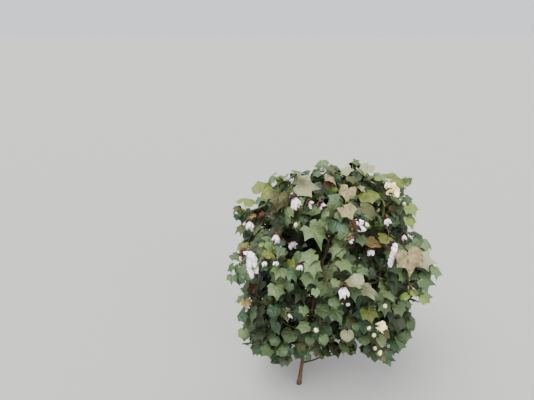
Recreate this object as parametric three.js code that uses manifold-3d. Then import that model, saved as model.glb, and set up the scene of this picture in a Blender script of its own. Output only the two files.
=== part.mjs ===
// A field-grown cotton plant, rooted in level ground: one woody main stem, its side
// boughs, and the masses of foliage that they carry. Millimetres, +Z up, +X to the
// right and +Y away from the viewer. The origin is the centre of the flat cut through
// the main stem at ground level.
import * as THREE from "three";
import { mergeVertices } from "three/addons/utils/BufferGeometryUtils.js";
import Module from "manifold-3d";

// ---- named sizes -------------------------------------------------------------------
const STEM_TOP = 1062; // tip of the main stem above the ground
const STEM_LEAN = 128; // how far the tip stands to the right of the foot
const STEM_LEAN_POWER = 1.25; // the lean grows with height
const STEM_R_FOOT = 8.8; // radius above the root flare
const STEM_R_LOSS = 6.4; // lost between foot and tip
const STEM_R_POWER = 0.9;
const FLARE_R = 4.2; // extra radius of the root flare at the ground
const FLARE_H = 20; // height over which the flare dies away
const FLARE_LOBES = 5; // buttresses of the flare
const STEM_SIDES = 11;
const STEM_STEPS = 16;

const LIMB_SIDES = 5;
const LIMB_STEPS = 4;
const MASS_DETAIL = 5; // subdivision of the octahedron behind each mass
const SPRAYS = 15; // leafy swellings of one mass
const SPRAY_CORE = 0.74; // skin between the swellings, as a share of the half size
const SPRAY_SWELL = 0.5; // how far the strongest swelling stands out beyond that
const SPRAY_TIGHT = 8; // the larger, the narrower each swelling
const GAP = 0.4; // clear space left between touching pieces

// One row for each tier of boughs, from the ground up. Azimuths are in degrees, 0 to the
// right and 90 away from the viewer. Every bough feeds the mass with the same index.
//   cx      centre of the tier's ring, to the right of the foot
//   ring    distance of each mass from that centre
//   z       height of each mass's centre
//   half    half sizes of a mass: outward, across, upward
//   attach  height of the first bough's foot on the stem, and the rise to the next
//   r       radius of a bough at its foot and at its far end
//   lift    share of the climb made by the middle of the bough
const TIERS = [
  {
    name: "low",
    cx: 20,
    az: [-22, 58, 128, 203],
    ring: [185, 200, 200, 200],
    z: [335, 285, 300, 318],
    half: [120, 134, 94],
    attach: [135, 20],
    r: [3.9, 1.9],
    lift: 0.34,
    green: 0x4f6e4b,
  },
  {
    name: "mid",
    cx: 75,
    az: [-8, 62, 134, 196, 262, 318],
    ring: [285, 250, 250, 245, 175, 215],
    z: [505, 490, 510, 520, 600, 585],
    half: [130, 150, 120],
    attach: [205, 36],
    r: [3.8, 1.8],
    lift: 0.4,
    green: 0x56774f,
  },
  {
    name: "high",
    cx: 85,
    az: [22, 88, 150, 205, 262, 322],
    ring: [285, 250, 265, 265, 235, 270],
    z: [745, 735, 755, 770, 830, 800],
    half: [130, 148, 118],
    attach: [455, 40],
    r: [3.1, 1.6],
    lift: 0.58,
    green: 0x66864f,
  },
  {
    name: "top",
    cx: 110,
    az: [-5, 95, 178, 268],
    ring: [150, 150, 160, 150],
    z: [955, 945, 945, 985],
    half: [112, 122, 100],
    attach: [735, 42],
    r: [2.5, 1.4],
    lift: 0.66,
    green: 0x7c985c,
  },
];
const TIP = { cx: 128, z: 1035, half: [95, 95, 82], green: 0x8aa866 };

const BARK = 0x7b6450;
const BRANCH_BARK = 0x7d5c49;

// ---- the main stem's centre line and thickness ---------------------------------------
function stemPoint(z) {
  const t = z / STEM_TOP;
  const up = Math.max(t, 0);
  return new THREE.Vector3(
    STEM_LEAN * up ** STEM_LEAN_POWER + 6 * Math.sin(9.5 * t) * t,
    12 * Math.sin(4.2 * t + 0.3) * t,
    z,
  );
}

function stemRadius(z) {
  const t = Math.min(Math.max(z / STEM_TOP, 0), 1);
  return (
    STEM_R_FOOT -
    STEM_R_LOSS * t ** STEM_R_POWER +
    FLARE_R * Math.exp(-Math.max(z, 0) / FLARE_H)
  );
}

class StemLine extends THREE.Curve {
  constructor(from) {
    super();
    this.from = from;
  }
  getPoint(u, target = new THREE.Vector3()) {
    return target.copy(stemPoint(this.from + (STEM_TOP - this.from) * u));
  }
}

// ---- solids ----------------------------------------------------------------------------
const wasm = await Module();
wasm.setup();

function toSolid(geometry) {
  geometry.deleteAttribute("normal");
  geometry.deleteAttribute("uv");
  const merged = mergeVertices(geometry, 1e-4);
  return new wasm.Manifold(
    new wasm.Mesh({
      numProp: 3,
      vertProperties: new Float32Array(merged.getAttribute("position").array),
      triVerts: new Uint32Array(merged.index.array),
    }),
  );
}

function toGeometry(solid) {
  const m = solid.getMesh();
  const points = new Float32Array(m.numVert * 3);
  for (let i = 0; i < m.numVert; i++)
    points.set(
      m.vertProperties.subarray(i * m.numProp, i * m.numProp + 3),
      i * 3,
    );
  const geometry = new THREE.BufferGeometry();
  geometry.setAttribute("position", new THREE.BufferAttribute(points, 3));
  geometry.setIndex(new THREE.BufferAttribute(m.triVerts, 1));
  geometry.computeVertexNormals();
  return geometry;
}

// The largest body of a solid that cuts may have parted.
function largest(solid) {
  return solid.decompose().sort((a, b) => b.volume() - a.volume())[0];
}

// A closed, tapering limb: a capped cylinder laid along a curve. radiusAt(u, angle) gives
// its thickness, with u from 0 at the foot to 1 at the tip.
function limb(curve, steps, sides, radiusAt) {
  const g = new THREE.CylinderGeometry(1, 1, 1, sides, steps, false);
  const frames = curve.computeFrenetFrames(steps, false);
  const at = g.getAttribute("position");
  const p = new THREE.Vector3();
  for (let i = 0; i < at.count; i++) {
    const x = at.getX(i);
    const z = at.getZ(i);
    const u = THREE.MathUtils.clamp(at.getY(i) + 0.5, 0, 1);
    const k = Math.round(u * steps);
    const r = radiusAt(u, Math.atan2(z, x));
    curve.getPointAt(u, p);
    p.addScaledVector(frames.normals[k], x * r);
    p.addScaledVector(frames.binormals[k], -z * r);
    at.setXYZ(i, p.x, p.y, p.z);
  }
  return toSolid(g);
}

// A repeatable number from 0 to 1 for a pair of counts.
const chance = (i, k) => {
  const v = Math.sin(i * 127.1 + k * 311.7) * 43758.5453;
  return v - Math.floor(v);
};

// The sprays that swell a mass: directions spread over the sphere and shifted by chance,
// each with its own strength.
function sprays(seed) {
  return Array.from({ length: SPRAYS }, (_, k) => {
    const up = 1 - (2 * (k + 0.5)) / SPRAYS + 0.24 * (chance(seed, k) - 0.5);
    const turn = k * 2.39996 + seed + 0.9 * (chance(seed, k + 40) - 0.5);
    const flat = Math.sqrt(Math.max(0, 1 - up * up));
    return {
      way: new THREE.Vector3(
        flat * Math.cos(turn),
        flat * Math.sin(turn),
        up,
      ).normalize(),
      swell: 0.55 + 0.45 * chance(seed, k + 80),
    };
  });
}

// How far out the skin of a mass lies in direction d, as a share of its half size.
function unevenness(d, list) {
  let best = 0;
  for (const s of list)
    best = Math.max(best, s.swell * Math.exp(-SPRAY_TIGHT * (1 - d.dot(s.way))));
  return SPRAY_CORE + SPRAY_SWELL * best;
}

// A closed, uneven mass of foliage round a centre. grow moves its surface outwards.
function mass(centre, half, azimuth, seed, grow) {
  const g = new THREE.OctahedronGeometry(1, MASS_DETAIL);
  const at = g.getAttribute("position");
  const d = new THREE.Vector3();
  const turn = new THREE.Vector3(0, 0, 1);
  const list = sprays(seed);
  for (let i = 0; i < at.count; i++) {
    d.fromBufferAttribute(at, i).normalize();
    const n = unevenness(d, list);
    d.set(
      d.x * (half[0] * n + grow),
      d.y * (half[1] * n + grow),
      d.z * (half[2] * n + grow),
    );
    d.applyAxisAngle(turn, azimuth).add(centre);
    at.setXYZ(i, d.x, d.y, d.z);
  }
  return toSolid(g);
}

const EIGHTHS =
  "right back_right back back_left left front_left front front_right".split(
    " ",
  );
const side = (az) => EIGHTHS[Math.round((((az % 360) + 360) % 360) / 45) % 8];

// ---- the main stem, cut flat at the ground ----------------------------------------------
function stemSolid(grow) {
  const below = -30;
  const line = new StemLine(below);
  const span = STEM_TOP - below;
  const whole = limb(line, STEM_STEPS, STEM_SIDES, (u, angle) => {
    const z = below + span * u;
    const near = Math.exp(-Math.max(z, 0) / FLARE_H);
    return (
      stemRadius(z) * (1 + 0.09 * near * Math.cos(FLARE_LOBES * angle)) + grow
    );
  });
  if (grow) return whole;
  return whole.subtract(
    toSolid(new THREE.BoxGeometry(200, 200, 200).translate(0, 0, -100)),
  );
}

const stem = stemSolid(0);
const stemGrown = stemSolid(GAP);

// ---- boughs and masses, tier by tier ------------------------------------------------------
const parts = [];
TIERS.forEach((tier, tierIndex) => {
  tier.az.forEach((az, i) => {
    const a = THREE.MathUtils.degToRad(az);
    const centre = new THREE.Vector3(
      tier.cx + tier.ring[i] * Math.cos(a),
      tier.ring[i] * Math.sin(a),
      tier.z[i],
    );
    const foot = stemPoint(tier.attach[0] + tier.attach[1] * i);
    const middle = foot.clone().lerp(centre, 0.55);
    middle.z = foot.z + (centre.z - foot.z) * tier.lift;
    const line = new THREE.QuadraticBezierCurve3(foot, middle, centre);
    const seed = tierIndex * 7 + i + 1;
    const thick = (grow) =>
      limb(
        line,
        LIMB_STEPS,
        LIMB_SIDES,
        (u) => tier.r[0] + (tier.r[1] - tier.r[0]) * u + grow,
      );
    parts.push({
      bough: "bough_" + tier.name + "_" + side(az),
      leaves: "leaves_" + tier.name + "_" + side(az),
      centre,
      green: tier.green,
      limb: thick(0),
      limbGrown: thick(GAP),
      mass: mass(centre, tier.half, a, seed, 0),
      massGrown: mass(centre, tier.half, a, seed, GAP + 0.3),
    });
  });
});
const tipCentre = new THREE.Vector3(TIP.cx, 0, TIP.z);
parts.push({
  leaves: "leaves_crown_tip",
  centre: tipCentre,
  green: TIP.green,
  mass: mass(tipCentre, TIP.half, 0, 31, 0),
  massGrown: mass(tipCentre, TIP.half, 0, 31, GAP + 0.3),
});

// A bough starts on the stem's skin and ends where it enters its own mass.
for (const p of parts)
  if (p.limb) p.limb = largest(p.limb.subtract(stemGrown).subtract(p.massGrown));

// The masses give way to the stem, to every bough and to the masses before them.
let taken = stemGrown;
for (const p of parts)
  if (p.limb) taken = taken.add(p.limbGrown.subtract(p.massGrown));
for (const p of parts) {
  p.mass = largest(p.mass.subtract(taken));
  taken = taken.add(p.massGrown);
}

// ---- the scene graph ------------------------------------------------------------------------
function piece(name, solid, origin, colour, roughness) {
  const geometry = toGeometry(solid);
  geometry.translate(-origin.x, -origin.y, -origin.z);
  const mesh = new THREE.Mesh(
    geometry,
    new THREE.MeshStandardMaterial({ color: colour, roughness, metalness: 0 }),
  );
  mesh.name = name;
  mesh.position.copy(origin);
  return mesh;
}

const plant = new THREE.Group();
plant.add(piece("main_stem", stem, new THREE.Vector3(), BARK, 0.85));
const boughs = new THREE.Group();
const foliage = new THREE.Group();
for (const p of parts) {
  if (p.limb)
    boughs.add(
      piece(p.bough, p.limb, new THREE.Vector3(0, 0, 0), BRANCH_BARK, 0.8),
    );
  foliage.add(piece(p.leaves, p.mass, p.centre, p.green, 0.6));
}
plant.add(boughs, foliage);

export default plant;
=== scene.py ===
"""Looks of a rooted cotton plant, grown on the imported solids. Metres, +Z up.

The main stem and the boughs get bark in relief. Every mass of foliage is replaced by what
grows there: the bough runs on into it, twigs fork from the bough, and each twig carries
leaves on long stalks, buds, flowers, green bolls and open bolls of lint.
"""

import math

import bpy
import numpy as np
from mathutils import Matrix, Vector
from mathutils.bvhtree import BVHTree


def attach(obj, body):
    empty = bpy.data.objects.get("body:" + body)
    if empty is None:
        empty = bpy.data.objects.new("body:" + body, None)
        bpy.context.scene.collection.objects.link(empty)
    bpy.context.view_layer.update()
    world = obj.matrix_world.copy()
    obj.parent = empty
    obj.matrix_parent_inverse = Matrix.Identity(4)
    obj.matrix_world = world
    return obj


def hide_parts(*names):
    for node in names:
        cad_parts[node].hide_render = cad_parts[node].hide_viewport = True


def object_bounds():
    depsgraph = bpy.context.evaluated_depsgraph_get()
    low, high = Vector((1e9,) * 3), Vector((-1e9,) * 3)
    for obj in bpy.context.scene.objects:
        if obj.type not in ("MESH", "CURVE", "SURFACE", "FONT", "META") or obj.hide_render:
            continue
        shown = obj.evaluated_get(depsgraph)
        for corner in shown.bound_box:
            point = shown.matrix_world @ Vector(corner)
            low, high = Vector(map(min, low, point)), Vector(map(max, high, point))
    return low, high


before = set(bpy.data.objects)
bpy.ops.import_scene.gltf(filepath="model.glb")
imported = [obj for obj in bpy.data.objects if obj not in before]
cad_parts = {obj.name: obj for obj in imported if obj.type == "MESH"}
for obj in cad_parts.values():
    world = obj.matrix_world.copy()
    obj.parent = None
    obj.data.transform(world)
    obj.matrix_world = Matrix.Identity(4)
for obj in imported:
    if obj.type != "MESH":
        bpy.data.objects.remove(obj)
cad_lo, cad_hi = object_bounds()
LO, HI = np.array(cad_lo), np.array(cad_hi)
rng = np.random.default_rng(1854)

UP = np.array([0.0, 0.0, 1.0])
TAU = 2 * math.pi


def vec(*a):
    return np.array(a, float)


def unit(v):
    v = np.asarray(v, float)
    return v / np.maximum(np.linalg.norm(v, axis=-1, keepdims=True), 1e-12)


def mix(a, b, t):
    return a + (b - a) * t


# ---------------------------------------------------------------- camera ----------------
# The photograph's standpoint: eye height, looking down on the plant.
CAM = vec(-0.157, -1.398, 1.65)
PITCH = math.radians(25.2)
FOCAL = 401.0  # pixels, for a frame 534 pixels wide
WIDE, HIGH = 534.0, 400.0
RIGHT = vec(1, 0, 0)
AHEAD = vec(0, math.cos(PITCH), -math.sin(PITCH))
ABOVE = vec(0, math.sin(PITCH), math.cos(PITCH))


def sight(px, py):
    """The direction in which the camera sees a place in its frame."""
    return unit(
        RIGHT * ((px - WIDE / 2) / FOCAL) + AHEAD - ABOVE * ((py - HIGH / 2) / FOCAL)
    )


def seen_at(p):
    """Place in the frame and depth of points."""
    q = np.atleast_2d(p) - CAM
    depth = q @ AHEAD
    return (
        WIDE / 2 + FOCAL * (q @ RIGHT) / depth,
        HIGH / 2 - FOCAL * (q @ ABOVE) / depth,
        depth,
    )


# ---------------------------------------------------------------- noise -----------------
def lattice(ix, iy, iz, seed):
    n = (ix * 374761393 + iy * 668265263 + iz * 1440662683 + seed * 69069) & 0xFFFFFFFF
    n = ((n ^ (n >> 13)) * 1274126177) & 0xFFFFFFFF
    return ((n ^ (n >> 16)) & 0xFFFFFFFF) / 2147483647.5 - 1.0


def noise(p, scale, seed=0):
    """Smooth value noise from -1 to 1 at points p, with lumps of the given size."""
    q = np.asarray(p, float) / scale
    i = np.floor(q).astype(np.int64)
    f = q - i
    f = f * f * (3 - 2 * f)
    total = 0.0
    for dx in (0, 1):
        wx = f[..., 0] if dx else 1 - f[..., 0]
        for dy in (0, 1):
            wy = f[..., 1] if dy else 1 - f[..., 1]
            for dz in (0, 1):
                wz = f[..., 2] if dz else 1 - f[..., 2]
                total = total + wx * wy * wz * lattice(
                    i[..., 0] + dx, i[..., 1] + dy, i[..., 2] + dz, seed
                )
    return total


def billow(p, scale, seed=0):
    """Puffed noise, about 0 on average: round swellings parted by creases."""
    return np.abs(noise(p, scale, seed)) * 3.2 - 1.0


# ---------------------------------------------------------------- skeleton --------------
# The same centre lines as the solids.
STEM_TOP = 1.062
TIERS = [
    dict(
        name="low", cx=0.020, az=[-22, 58, 128, 203],
        ring=[0.185, 0.200, 0.200, 0.200], z=[0.335, 0.285, 0.300, 0.318],
        half=(0.120, 0.134, 0.094), attach=(0.135, 0.020), r=(0.0039, 0.0019), lift=0.34,
    ),
    dict(
        name="mid", cx=0.075, az=[-8, 62, 134, 196, 262, 318],
        ring=[0.285, 0.250, 0.250, 0.245, 0.175, 0.215],
        z=[0.505, 0.490, 0.510, 0.520, 0.600, 0.585],
        half=(0.130, 0.150, 0.120), attach=(0.205, 0.036), r=(0.0038, 0.0018), lift=0.40,
    ),
    dict(
        name="high", cx=0.085, az=[22, 88, 150, 205, 262, 322],
        ring=[0.285, 0.250, 0.265, 0.265, 0.235, 0.270],
        z=[0.745, 0.735, 0.755, 0.770, 0.830, 0.800],
        half=(0.130, 0.148, 0.118), attach=(0.455, 0.040), r=(0.0031, 0.0016), lift=0.58,
    ),
    dict(
        name="top", cx=0.110, az=[-5, 95, 178, 268],
        ring=[0.150, 0.150, 0.160, 0.150], z=[0.955, 0.945, 0.945, 0.985],
        half=(0.112, 0.122, 0.100), attach=(0.735, 0.042), r=(0.0025, 0.0014), lift=0.66,
    ),
]  # fmt: skip
SIDES = "right back_right back back_left left front_left front front_right".split()


def side_name(az):
    return SIDES[int(math.floor((az % 360) / 45 + 0.5)) % 8]


def stem_point(z):
    t = z / STEM_TOP
    up = max(t, 0.0)
    return vec(
        0.128 * up**1.25 + 0.006 * math.sin(9.5 * t) * t,
        0.012 * math.sin(4.2 * t + 0.3) * t,
        z,
    )


def stem_radius(z):
    t = min(max(z / STEM_TOP, 0.0), 1.0)
    return 0.0088 - 0.0064 * t**0.9 + 0.0042 * math.exp(-max(z, 0.0) / 0.020)


def bezier(a, b, c, n):
    t = np.linspace(0, 1, n)[:, None]
    return a * (1 - t) ** 2 + b * 2 * t * (1 - t) + c * t * t


class Mass:
    """One mass of foliage: its solid, its bough and what will grow in it."""

    def __init__(self, node, centre, half, tier, line=None, radii=None, bough=None):
        self.node, self.centre, self.half, self.tier = node, centre, half, tier
        self.line, self.radii, self.bough = line, radii, bough
        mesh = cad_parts[node].data
        co = np.zeros(len(mesh.vertices) * 3)
        mesh.vertices.foreach_get("co", co)
        mesh.calc_loop_triangles()
        tri = np.zeros(len(mesh.loop_triangles) * 3, np.int32)
        mesh.loop_triangles.foreach_get("vertices", tri)
        self.co = co.reshape(-1, 3)
        self.tree = BVHTree.FromPolygons(
            [Vector(v) for v in self.co], tri.reshape(-1, 3).tolist()
        )
        self.targets = []  # leaves to be carried: dicts

    def reach(self, d):
        """How far the solid goes from its centre in direction d, or None."""
        far = self.centre + unit(d) * 0.4
        hit = self.tree.ray_cast(Vector(far), Vector(unit(self.centre - far)))
        if hit[0] is None:
            return None
        return float(np.linalg.norm(np.array(hit[0]) - self.centre))

    def inside(self, p):
        near, normal, _, _ = self.tree.find_nearest(Vector(p))
        return (Vector(p) - near).dot(normal) < 0


masses = []
for tier in TIERS:
    for i, az in enumerate(tier["az"]):
        a = math.radians(az)
        centre = vec(
            tier["cx"] + tier["ring"][i] * math.cos(a),
            tier["ring"][i] * math.sin(a),
            tier["z"][i],
        )
        foot = stem_point(tier["attach"][0] + tier["attach"][1] * i)
        middle = mix(foot, centre, 0.55)
        middle[2] = foot[2] + (centre[2] - foot[2]) * tier["lift"]
        inner = bezier(foot, middle, centre, 46)
        ahead = unit(unit(centre - middle) * 0.8 + UP * 0.25)
        out = centre + ahead * tier["half"][0] * 0.62
        outer = bezier(centre, centre + unit(centre - middle) * 0.03, out, 18)[1:]
        line = np.vstack([inner, outer])
        r0, r1 = tier["r"]
        radii = np.concatenate(
            [np.linspace(r0, r1, len(inner)), np.linspace(r1, 0.0010, len(outer))]
        )
        m = Mass(
            f"leaves_{tier['name']}_{side_name(az)}", centre, tier["half"], tier["name"],
            line, radii, f"bough_{tier['name']}_{side_name(az)}",
        )  # fmt: skip
        masses.append(m)
tip_line = np.array([stem_point(z) for z in np.linspace(0.93, STEM_TOP, 20)])
masses.append(
    Mass("leaves_crown_tip", vec(0.128, 0, 1.035), (0.095, 0.095, 0.082), "tip", tip_line)
)


# ---------------------------------------------------------------- joined meshes ---------
class Piece:
    """Gathers many small closed meshes of one kind into one object. Every part has a place
    of its own in the colour map: charts are laid out in a square grid."""

    def __init__(self, name, sharp=True):
        self.name, self.sharp = name, sharp
        self.v, self.f, self.uv, self.chart = [], [], [], []
        self.vein, self.face, self.rim = [], [], []
        self.count = self.charts = self.tris = 0

    def add(self, v, f, uv, vein=None, under=None, rim=None, chart=None, charts=1):
        """v points, f triangles, uv a place in 0 to 1 for each corner of each triangle."""
        n, k = len(v), len(f)
        self.v.append(v)
        self.f.append(f + self.count)
        self.uv.append(uv)
        self.chart.append((np.zeros(k, int) if chart is None else chart) + self.charts)
        self.vein.append(np.zeros((n, 3)) if vein is None else vein)
        self.face.append(np.zeros(k) if under is None else under)
        self.rim.append(np.zeros(n, bool) if rim is None else rim)
        self.count += n
        self.charts += charts
        self.tris += k

    def build(self, material):
        v, f = np.vstack(self.v), np.vstack(self.f)
        side = max(1, math.ceil(math.sqrt(self.charts)))
        chart = np.concatenate(self.chart)
        cell = np.stack([chart % side, chart // side], 1)[:, None, :]
        pad = 0.05
        uv = (cell + pad + np.vstack(self.uv).reshape(-1, 3, 2) * (1 - 2 * pad)) / side
        mesh = bpy.data.meshes.new(self.name)
        mesh.from_pydata(v.tolist(), [], f.tolist())
        layer = mesh.uv_layers.new(name="OFBake")
        layer.uv.foreach_set("vector", uv.astype(np.float32).ravel())
        veins = mesh.attributes.new("vein", "FLOAT_VECTOR", "POINT")
        veins.data.foreach_set("vector", np.vstack(self.vein).astype(np.float32).ravel())
        under = mesh.attributes.new("under", "FLOAT", "FACE")
        under.data.foreach_set("value", np.concatenate(self.face).astype(np.float32))
        mesh.polygons.foreach_set("use_smooth", np.ones(len(f), bool))
        rim = np.concatenate(self.rim)
        if self.sharp and rim.any():
            ends = np.zeros(len(mesh.edges) * 2, np.int32)
            mesh.edges.foreach_get("vertices", ends)
            ends = ends.reshape(-1, 2)
            mesh.edges.foreach_set("use_edge_sharp", rim[ends[:, 0]] & rim[ends[:, 1]])
        mesh.materials.append(material)
        mesh.update()
        obj = bpy.data.objects.new(self.name, mesh)
        bpy.context.scene.collection.objects.link(obj)
        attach(obj, "root")
        return obj


def travel(path):
    """Unit tangents of a path, and two side vectors that don't turn round it."""
    t = unit(np.gradient(path, axis=0))
    first = vec(1, 0, 0) if abs(t[0][2]) > 0.9 else UP
    n = np.empty_like(path)
    n[0] = unit(first - t[0] * first.dot(t[0]))
    for i in range(1, len(path)):
        n[i] = unit(n[i - 1] - t[i] * n[i - 1].dot(t[i]))
    return t, n, np.cross(t, n)


_tube = {}


def tube_faces(k, s):
    if (k, s) not in _tube:
        i, j = np.meshgrid(np.arange(k - 1), np.arange(s), indexing="ij")
        i, j = i.ravel(), j.ravel()
        j2 = (j + 1) % s
        a, b, c, d = i * s + j, i * s + j2, (i + 1) * s + j2, (i + 1) * s + j
        f = np.concatenate([np.stack([a, b, c], 1), np.stack([a, c, d], 1)])
        u0, u1, v0, v1 = j / s, (j + 1) / s, i / (k - 1), (i + 1) / (k - 1)
        uv = np.concatenate(
            [
                np.stack([u0, v0, u1, v0, u1, v1], 1),
                np.stack([u0, v0, u1, v1, u0, v1], 1),
            ]
        )
        js = np.arange(s)
        start = np.stack([np.full(s, k * s), (js + 1) % s, js], 1)
        last = (k - 1) * s
        end = np.stack([np.full(s, k * s + 1), last + js, last + (js + 1) % s], 1)
        cap = np.stack(
            [np.full(s, 0.5), np.zeros(s), (js + 1) / s, np.zeros(s), js / s, np.zeros(s)],
            1,
        )
        _tube[k, s] = (
            np.concatenate([f, start, end]),
            np.concatenate([uv, cap, 1 - cap]).reshape(-1, 3, 2),
        )
    return _tube[k, s]


def tube(piece, path, radius, sides, tone=0.0, relief=None, along=None, level=None):
    """A closed limb round a path. relief is a share added to its radius, ring by ring; level
    is the height of a flat cut through its first ring."""
    k = len(path)
    t, n, b = travel(path)
    ang = np.arange(sides) / sides * TAU
    r = np.broadcast_to(np.asarray(radius, float).reshape(-1, 1), (k, sides)).copy()
    if relief is not None:
        r *= 1 + relief
    ring = path[:, None, :] + r[:, :, None] * (
        np.cos(ang)[None, :, None] * n[:, None, :] + np.sin(ang)[None, :, None] * b[:, None, :]
    )
    if level is not None:
        ring[0, :, 2] = level
    v = np.vstack([ring.reshape(-1, 3), path[:1], path[-1:]])
    f, uv = tube_faces(k, sides)
    s = np.linspace(0, 1, k) if along is None else along
    vein = np.zeros((len(v), 3))
    vein[: k * sides, 0] = np.repeat(s, sides)
    # the relief goes to the material too, which paints shade into its cracks with it
    if relief is not None:
        vein[: k * sides, 1] = relief.ravel()
    vein[-1, 0] = s[-1]
    vein[:, 2] = tone
    piece.add(v, f, uv, vein=vein)


def hairs(piece, roots, ways, lengths, radius, curl, seed, tone=0.0):
    """Thin fibres, three-sided and pointed, many at once."""
    k, s, m = 5, 3, len(roots)
    t = np.linspace(0, 1, k)[None, :, None]
    r = np.random.default_rng(seed)
    bend, swing, start = r.normal(size=(m, 1, 3)), r.normal(size=(m, 1, 3)), r.uniform(0, TAU, (m, 1, 1))
    path = (
        roots[:, None, :]
        + (ways[:, None, :] * t + bend * curl * 0.45 * t * t) * lengths[:, None, None]
        + swing * (np.sin(start + t * 5.5) - np.sin(start)) * curl * 0.16 * lengths[:, None, None]
    )
    tan = ways
    ref = np.where(np.abs(tan[:, 2:3]) > 0.9, vec(1, 0, 0), UP)
    n = unit(ref - tan * np.sum(ref * tan, 1, keepdims=True))
    b = np.cross(tan, n)
    ang = np.arange(s) / s * TAU
    r = radius * (1 - 0.85 * t[0, :, 0])
    ring = path[:, :, None, :] + r[None, :, None, None] * (
        np.cos(ang)[None, None, :, None] * n[:, None, None, :]
        + np.sin(ang)[None, None, :, None] * b[:, None, None, :]
    )
    v = np.concatenate(
        [ring.reshape(m, k * s, 3), path[:, :1], path[:, -1:]], axis=1
    )
    f, uv = tube_faces(k, s)
    step = (np.arange(m) * (k * s + 2))[:, None, None]
    vein = np.zeros((m * (k * s + 2), 3))
    vein[:, 2] = tone
    piece.add(
        v.reshape(-1, 3),
        (f[None] + step).reshape(-1, 3),
        np.tile(uv, (m, 1, 1)),
        vein=vein,
    )


# ---------------------------------------------------------------- blades ----------------
# A leaf, bract or petal is a fan of rays from the top of its stalk, closed underneath.
VEINS = np.array([-104.0, -52.0, 0.0, 52.0, 104.0])


class Fan:
    """The layout of a blade's faces: rays at fixed angles, rings at shares of their length."""

    def __init__(self, half_angles, rings):
        h = np.array(half_angles, float)
        self.phi = np.concatenate([-h[:0:-1], h]) if h[0] == 0 else np.concatenate([-h[::-1], h])
        self.rings = np.array(rings, float)
        na, nr = len(self.phi), len(rings)
        self.na, self.nr = na, nr
        top = 1 + np.arange(nr * na).reshape(nr, na)
        low = top.copy()
        n_top = 1 + nr * na
        inner = np.arange((nr - 1) * (na - 2)).reshape(nr - 1, na - 2)
        low[:-1, 1:-1] = n_top + inner
        self.n_top, self.n = n_top, n_top + inner.size
        self.low_source = top[:-1, 1:-1].ravel()

        def skin(g):
            f = [np.stack([np.zeros(na - 1, int), g[0, 1:], g[0, :-1]], 1)]
            for j in range(nr - 1):
                a, b, c, d = g[j, :-1], g[j, 1:], g[j + 1, 1:], g[j + 1, :-1]
                f += [np.stack([a, b, c], 1), np.stack([a, c, d], 1)]
            return np.concatenate(f)

        up = skin(top)
        down = skin(low)[:, ::-1]
        self.up, self.down = up, down
        self.f = np.concatenate([up, down])
        self.under = np.concatenate([np.zeros(len(up)), np.ones(len(down))])
        rim = np.zeros(self.n, bool)
        rim[0] = True
        rim[top[-1]] = rim[top[:, 0]] = rim[top[:, -1]] = True
        self.rim = rim
        r = np.repeat(self.rings, na)
        self.t = np.concatenate([[0], r])
        self.a = np.concatenate([[0], np.tile(self.phi, nr)])


LEAF = Fan([0, 6, 15, 26, 38, 46, 52, 58, 68, 78, 90, 99, 104, 112, 128, 146, 162, 174],
           [0.28, 0.56, 0.8, 1.0])  # fmt: skip
WIDE_LEAF = Fan([0, 6, 15, 26, 38, 46, 52, 58, 68, 78, 90, 99, 104, 112, 128, 146, 162, 174],
                [0.34, 0.70, 1.0])  # fmt: skip
SMALL_LEAF = Fan([0, 7, 17, 27, 40, 52, 64, 78, 92, 104, 124, 150, 172], [0.34, 0.7, 1.0])
INNER_LEAF = Fan([0, 12, 26, 42, 52, 66, 80, 98, 112, 140, 168], [0.5, 1.0])
OLD_LEAF = Fan([0, 4, 9, 16, 21, 26, 32, 38, 44, 49, 52, 56, 62, 70, 78, 88, 97, 104, 112,
                122, 134, 146, 158, 168, 175], [0.16, 0.34, 0.52, 0.7, 0.86, 1.0])  # fmt: skip
BRACT = Fan([0, 5, 11, 17, 23, 29, 35, 42, 49, 56, 63, 71, 79, 88, 97, 106, 118], [0.35, 0.66, 1.0])
PETAL = Fan([0, 8, 16, 24, 32, 40, 47, 53], [0.2, 0.45, 0.68, 0.86, 1.0])


def leaf_outline(a, depth, sharp=0.85, broad=1.0, uneven=(0, 0, 0)):
    """Length of a leaf's rays, for a mid lobe of length 1. depth is how deep the lobes part."""
    lean = 1 + uneven[0] * np.sin(np.radians(a)) + uneven[1] * np.sin(np.radians(2.3 * a) + uneven[2])
    a = np.abs(a)
    env = np.interp(
        a,
        [0, 5, 26, 46, 52, 58, 78, 100, 104, 110, 125, 145, 160, 170, 180],
        [1.09, 0.99, 0.90, 0.87, 0.93, 0.85, 0.78, 0.65, 0.68, 0.62, 0.55, 0.47, 0.38, 0.24, 0.04],
    )
    env = env * lean * mix(1.0, broad, np.sin(np.radians(np.minimum(a, 120))) ** 2)
    first = np.where(a < 52, np.sin(np.pi * np.clip(a / 52, 0, 1)), 0) ** sharp
    second = np.where(
        (a >= 52) & (a < 104), np.sin(np.pi * np.clip((a - 52) / 52, 0, 1)), 0
    ) ** sharp
    return env * (1 - depth * first - 0.62 * depth * second)


def bract_outline(a, index, teeth=0.36):
    a = np.abs(a)
    env = np.interp(a, [0, 20, 60, 100, 118], [1.0, 0.98, 0.84, 0.66, 0.4])
    cut = np.where(index % 2 == 1, 1 - teeth * np.interp(a, [0, 70, 100], [1, 0.8, 0.1]), 1.0)
    return env * cut


def petal_outline(a):
    a = np.abs(a)
    return np.interp(a, [0, 12, 26, 40, 48, 53], [0.97, 1.0, 0.97, 0.86, 0.68, 0.40])


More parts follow.
